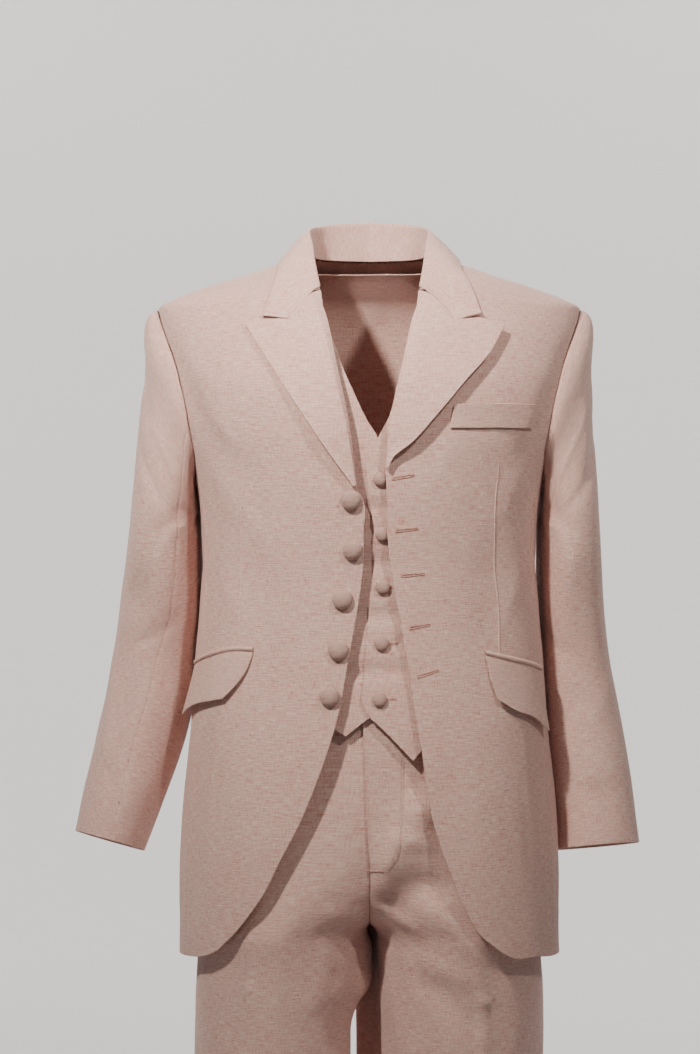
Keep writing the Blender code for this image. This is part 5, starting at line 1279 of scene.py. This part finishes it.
# Worked buttonhole: distance of its stitches, gap between the two rows, share by which it narrows,
# slant of a stitch, distance of the bar's threads, and reach of the eye's threads.
HOLE_PITCH = 0.00085
HOLE_GAP = 0.00030
HOLE_NARROWING = 0.30
HOLE_SLANT = 0.00015
BAR_PITCH = 0.00042
EYE_REACH = (0.0006, 0.0017)


def buttonhole(find, start, end, half_width, seed):
    """Stitches of a worked buttonhole from its bar at the start to its eye at the end."""
    draw = np.random.default_rng(seed)
    start, end = np.asarray(start, float), np.asarray(end, float)
    length = np.linalg.norm(end - start)
    way = (end - start) / length
    across = np.array((-way[1], way[0]))
    stitches = []

    def add(a, b, thick=1.0):
        point, out = find(*a)
        stitches.append((point, find(*b)[0], out, thick))

    count = int(length / HOLE_PITCH)
    for k in range(count):
        share = (k + 0.5) / count
        spot = start + way * length * share
        wide = half_width * (1.0 - HOLE_NARROWING * share) * draw.uniform(0.88, 1.12)
        lean = way * draw.uniform(-HOLE_SLANT, HOLE_SLANT)
        for sign in (-1, 1):
            add(spot + across * sign * HOLE_GAP, spot + across * sign * wide + lean)
    for k in range(4):
        spot = start + way * (-0.0002 + BAR_PITCH * k)
        add(spot - across * half_width * 1.05, spot + across * half_width * 1.05, 1.1)
    for k in range(9):
        turn = math.radians(-120 + 30 * k)
        ray = way * math.cos(turn) + across * math.sin(turn)
        middle = end + way * EYE_REACH[0]
        add(middle + ray * EYE_REACH[0], middle + ray * EYE_REACH[1])
    return stitches


JACKET_HOLES = (
    # x and height of the bar, x and height of the eye
    (0.0226, 1.2571, 0.0442, 1.2608), (0.0266, 1.2028, 0.0481, 1.2049), (0.0324, 1.1557, 0.0549, 1.1577),
    (0.0413, 1.1007, 0.0613, 1.1042), (0.0499, 1.0499, 0.0703, 1.0560),
)
# Bar and eye, as x and height from the button.
WAISTCOAT_HOLE = (0.0020, -0.0010, 0.0148, 0.0004)
waistcoat_holes = [tuple(np.array(spot * 2) + WAISTCOAT_HOLE) for spot in WAISTCOAT_BUTTONS]
for kind, trunk, lift, under, holes, half_width, seed, radius in (
    ("jacket", JACKET, 0.0, 4, JACKET_HOLES, 0.0023, 200, 0.00038),
    ("waistcoat", WAISTCOAT, OVERLAP_LIFT, 64, waistcoat_holes, 0.0016, 220, 0.00032),
):
    find = surface_of(trunk, lift + 0.0002, under)
    stitches = []
    for k, hole in enumerate(holes):
        stitches += buttonhole(find, hole[:2], hole[2:], half_width, seed + k)
    stitch_mesh(kind + "_buttonholes", stitches, radius, SEWING_THREAD)


def running_stitches(points, outs, pitch, fill_share):
    """Even stitches along a line of points on the cloth."""
    length = lengths(points)
    count = int(length[-1] / pitch)
    reach = pitch * fill_share / 2

    def at(where, columns=points):
        return np.array([np.interp(where, length, columns[:, k]) for k in range(3)])

    middles = [(k + 0.5) * length[-1] / count for k in range(count)]
    return [(at(middle - reach), at(middle + reach), unit(at(middle, outs)), 1.0) for middle in middles]


# Running stitches: distance from one to the next, and the share of it that shows as thread.
FLY_STITCH = (0.0028, 0.72)
CUFF_STITCH = (0.0034, 0.62)

# Curved stitching of the fly, run on along its foot.
curve = [(height, far) for height, _, far in FLY_EDGE]
height = np.linspace(curve[0][0], curve[-1][0], 60)
foot = np.linspace(curve[0][1], 0.0015, 12)
runs = (smooth(curve, 1, height), height, 0.0019), (foot, np.full(12, curve[0][0]), 0.0020)
stitches = []
for x, height, stand in runs:
    points = trouser_front(x, height) + FORWARD * stand
    stitches += running_stitches(points, np.tile(FORWARD, (len(x), 1)), *FLY_STITCH)
stitch_mesh("trousers_fly_stitches", stitches, 0.00022, PALE_SEWING_THREAD)

# Tack at the foot of the fly: x from, x to, height, and the number of stitches.
TACK = (-0.0073, 0.0149, 0.8452, 24)
first, last, height, count = TACK
stitches = []
for k in range(count):
    x = first + (last - first) * (k + 0.5) / count
    ends = trouser_front(np.array([x, x + 0.0002]), np.array([height - 0.0009, height + 0.0009]))
    stitches.append((*(ends + FORWARD * 0.0022), FORWARD, 1.0))
stitch_mesh("trousers_fly_tack", stitches, 0.00034, SEWING_THREAD)

# Cuffs: stitches hold the turned-up hem, and the front seam is left open below a tack.
CUFF_LINE = {-1: 0.0480, 1: 0.0560}
CUFF_TACK = 0.0030
CUFF_TACK_PITCH = 0.00045
STITCH_LIFT = 0.0002


def on_sleeve(tube, alpha, share, lift=0.0):
    """Point on the sleeve's cloth and the way it looks."""
    point, after, before, below, above = (
        tube.at(np.array(place)) for place in (
            (alpha, share), (alpha + 2.0, share), (alpha - 2.0, share), (alpha, min(share + 0.01, 1.0)),
            (alpha, share - 0.01),
        )
    )
    out = unit(np.cross(below - above, after - before)) * tube.side
    return point + out * (lift + ripple(point, SLEEVE_SEED + tube.side)), out


stitches, tacks = [], []
for side in (-1, 1):
    tube = Sleeve(side)
    share = 1.0 - CUFF_LINE[side] / SLEEVE_LENGTH
    line = [on_sleeve(tube, alpha, share) for alpha in np.linspace(68.0, 292.0, 120)]
    stitches += running_stitches(*(np.array(part) for part in zip(*line)), *CUFF_STITCH)
    reach = CUFF_TACK / SLEEVE_ARC / 2
    for k in range(8):
        row = share + (k - 3.5) * CUFF_TACK_PITCH / SLEEVE_LENGTH
        start, out = on_sleeve(tube, SLEEVE_SEAM_ANGLE - reach, row, STITCH_LIFT)
        end, _ = on_sleeve(tube, SLEEVE_SEAM_ANGLE + reach, row, STITCH_LIFT)
        tacks.append((start, end, out, 1.0))
stitch_mesh("jacket_cuff_stitches", stitches, 0.00024, PALE_SEWING_THREAD)
stitch_mesh("jacket_cuff_tacks", tacks, 0.00034, SEWING_THREAD)

# Darts: the cloth is pinched into a fine ridge from the chest to the pocket. Height and x of the line.
DARTS = {
    -1: ((1.0800, -0.1408), (1.1400, -0.1391), (1.1932, -0.1379), (1.2624, -0.1356), (1.2750, -0.1352)),
    1: (
        (1.0720, 0.1381), (1.1294, 0.1371), (1.1730, 0.1334), (1.2411, 0.1337), (1.2655, 0.1367),
        (1.2750, 0.1372),
    ),
}
DART_PROFILE = ((-0.0022, -0.0004), (-0.0008, 0.0003), (0.0, 0.0005), (0.00035, -0.0001), (0.0012, -0.0006))
DART_ROWS = 90

for side in (-1, 1):
    word = SIDE_NAME[side]
    height = np.linspace(DARTS[side][0][0], DARTS[side][-1][0], DART_ROWS)
    places = JACKET.seen(np.stack((smooth(DARTS[side], 1, height), height), -1))
    fade = np.clip((DARTS[side][-1][0] - height) / 0.03, 0, 1) * 0.85 + 0.15
    rows = []
    for offset, rise in DART_PROFILE:
        spot = places + (side * offset / ARC_PER_DEGREE, 0.0)
        rows.append(JACKET.at(spot, rise * fade + 0.00025 * (rise > 0)))
    points = np.stack(rows, 1)
    grid = points, grid_normals(points, FORWARD), points[..., ::2]
    form = {"solid": False, "rests_on": ["jacket_front_" + word], "wall": 0.0004, "seed": 3 + side}
    cloth_piece("jacket_dart_" + word, grid, BODY_LINEN, held="stretched", **form)

# Floor that curves up into a wall behind the suit, light and air.
FLOOR_HEIGHT = -0.002
STAGE_WIDTH = 14.0
STAGE_FRONT = -14.0
WALL_PLACE = 6.5
WALL_TOP = 9.5
WALL_BEND = 2.2
WALL_STEPS = 24
STAGE_COLOUR = (0.80, 0.785, 0.770, 1.0)
WORLD_COLOUR = (0.80, 0.79, 0.78, 1.0)
WORLD_STRENGTH = 0.10
LAMP_COLOUR = (1.0, 0.935, 0.815)
WALL_LAMP_COLOUR = (1.0, 0.985, 0.97)
LIGHTS = (
    # name, place and aim in the part's frame, size, watts, colour, spread in degrees
    ("key_left", (-1.15, -1.85, 1.55), (-0.06, 0.0, 0.00), 0.20, 7.7, LAMP_COLOUR, 46.0),
    ("key_right", (1.20, -1.85, 1.60), (-0.20, 0.0, 0.00), 0.20, 3.1, LAMP_COLOUR, 46.0),
    ("front_fill", (0.2, -3.60, 0.40), (0.0, 0.0, -0.40), 2.40, 5.0, (1.0, 0.95, 0.88), 180.0),
    ("wall_left", (-3.2, 2.6, 3.2), (-0.8, 6.5, 0.2), 1.60, 250.0, WALL_LAMP_COLOUR, 180.0),
    ("wall_right", (3.2, 2.6, 3.2), (0.8, 6.5, 0.2), 1.60, 250.0, WALL_LAMP_COLOUR, 180.0),
)

profile = [(STAGE_FRONT, FLOOR_HEIGHT)]
for turn in np.linspace(0.0, math.pi / 2, WALL_STEPS):
    y = WALL_PLACE - WALL_BEND + WALL_BEND * math.sin(turn)
    profile.append((y, FLOOR_HEIGHT + WALL_BEND * (1 - math.cos(turn))))
profile.append((WALL_PLACE, WALL_TOP))
verts = [(x, y, z) for y, z in profile for x in (-STAGE_WIDTH, STAGE_WIDTH)]
faces = [(2 * k, 2 * k + 1, 2 * k + 3, 2 * k + 2) for k in range(len(profile) - 1)]
stage = mesh_piece("stage", verts, faces)
stage_material = bpy.data.materials.new("stage")
stage_material.use_nodes = True
stage_shader = stage_material.node_tree.nodes["Principled BSDF"]
set_inputs(stage_shader, {"Base Color": STAGE_COLOUR, "Roughness": 0.85})
stage.data.materials.append(stage_material)

world = bpy.data.worlds.new("studio")
world.use_nodes = True
set_inputs(world.node_tree.nodes["Background"], {"Color": WORLD_COLOUR, "Strength": WORLD_STRENGTH})
bpy.context.scene.world = world

for name, place, aim, size, watts, colour, spread in LIGHTS:
    light = bpy.data.lights.new(name, "AREA")
    light.shape = "DISK"
    light.size = size
    light.energy = watts
    light.color = colour
    light.spread = math.radians(spread)
    lamp = bpy.data.objects.new(name, light)
    lamp.location = place
    way = np.array(aim) - place
    yaw = math.atan2(way[1], way[0]) - math.pi / 2
    pitch = math.atan2(way[2], math.hypot(way[0], way[1])) + math.pi / 2
    lamp.rotation_euler = (pitch, 0.0, yaw)
    bpy.context.scene.collection.objects.link(lamp)
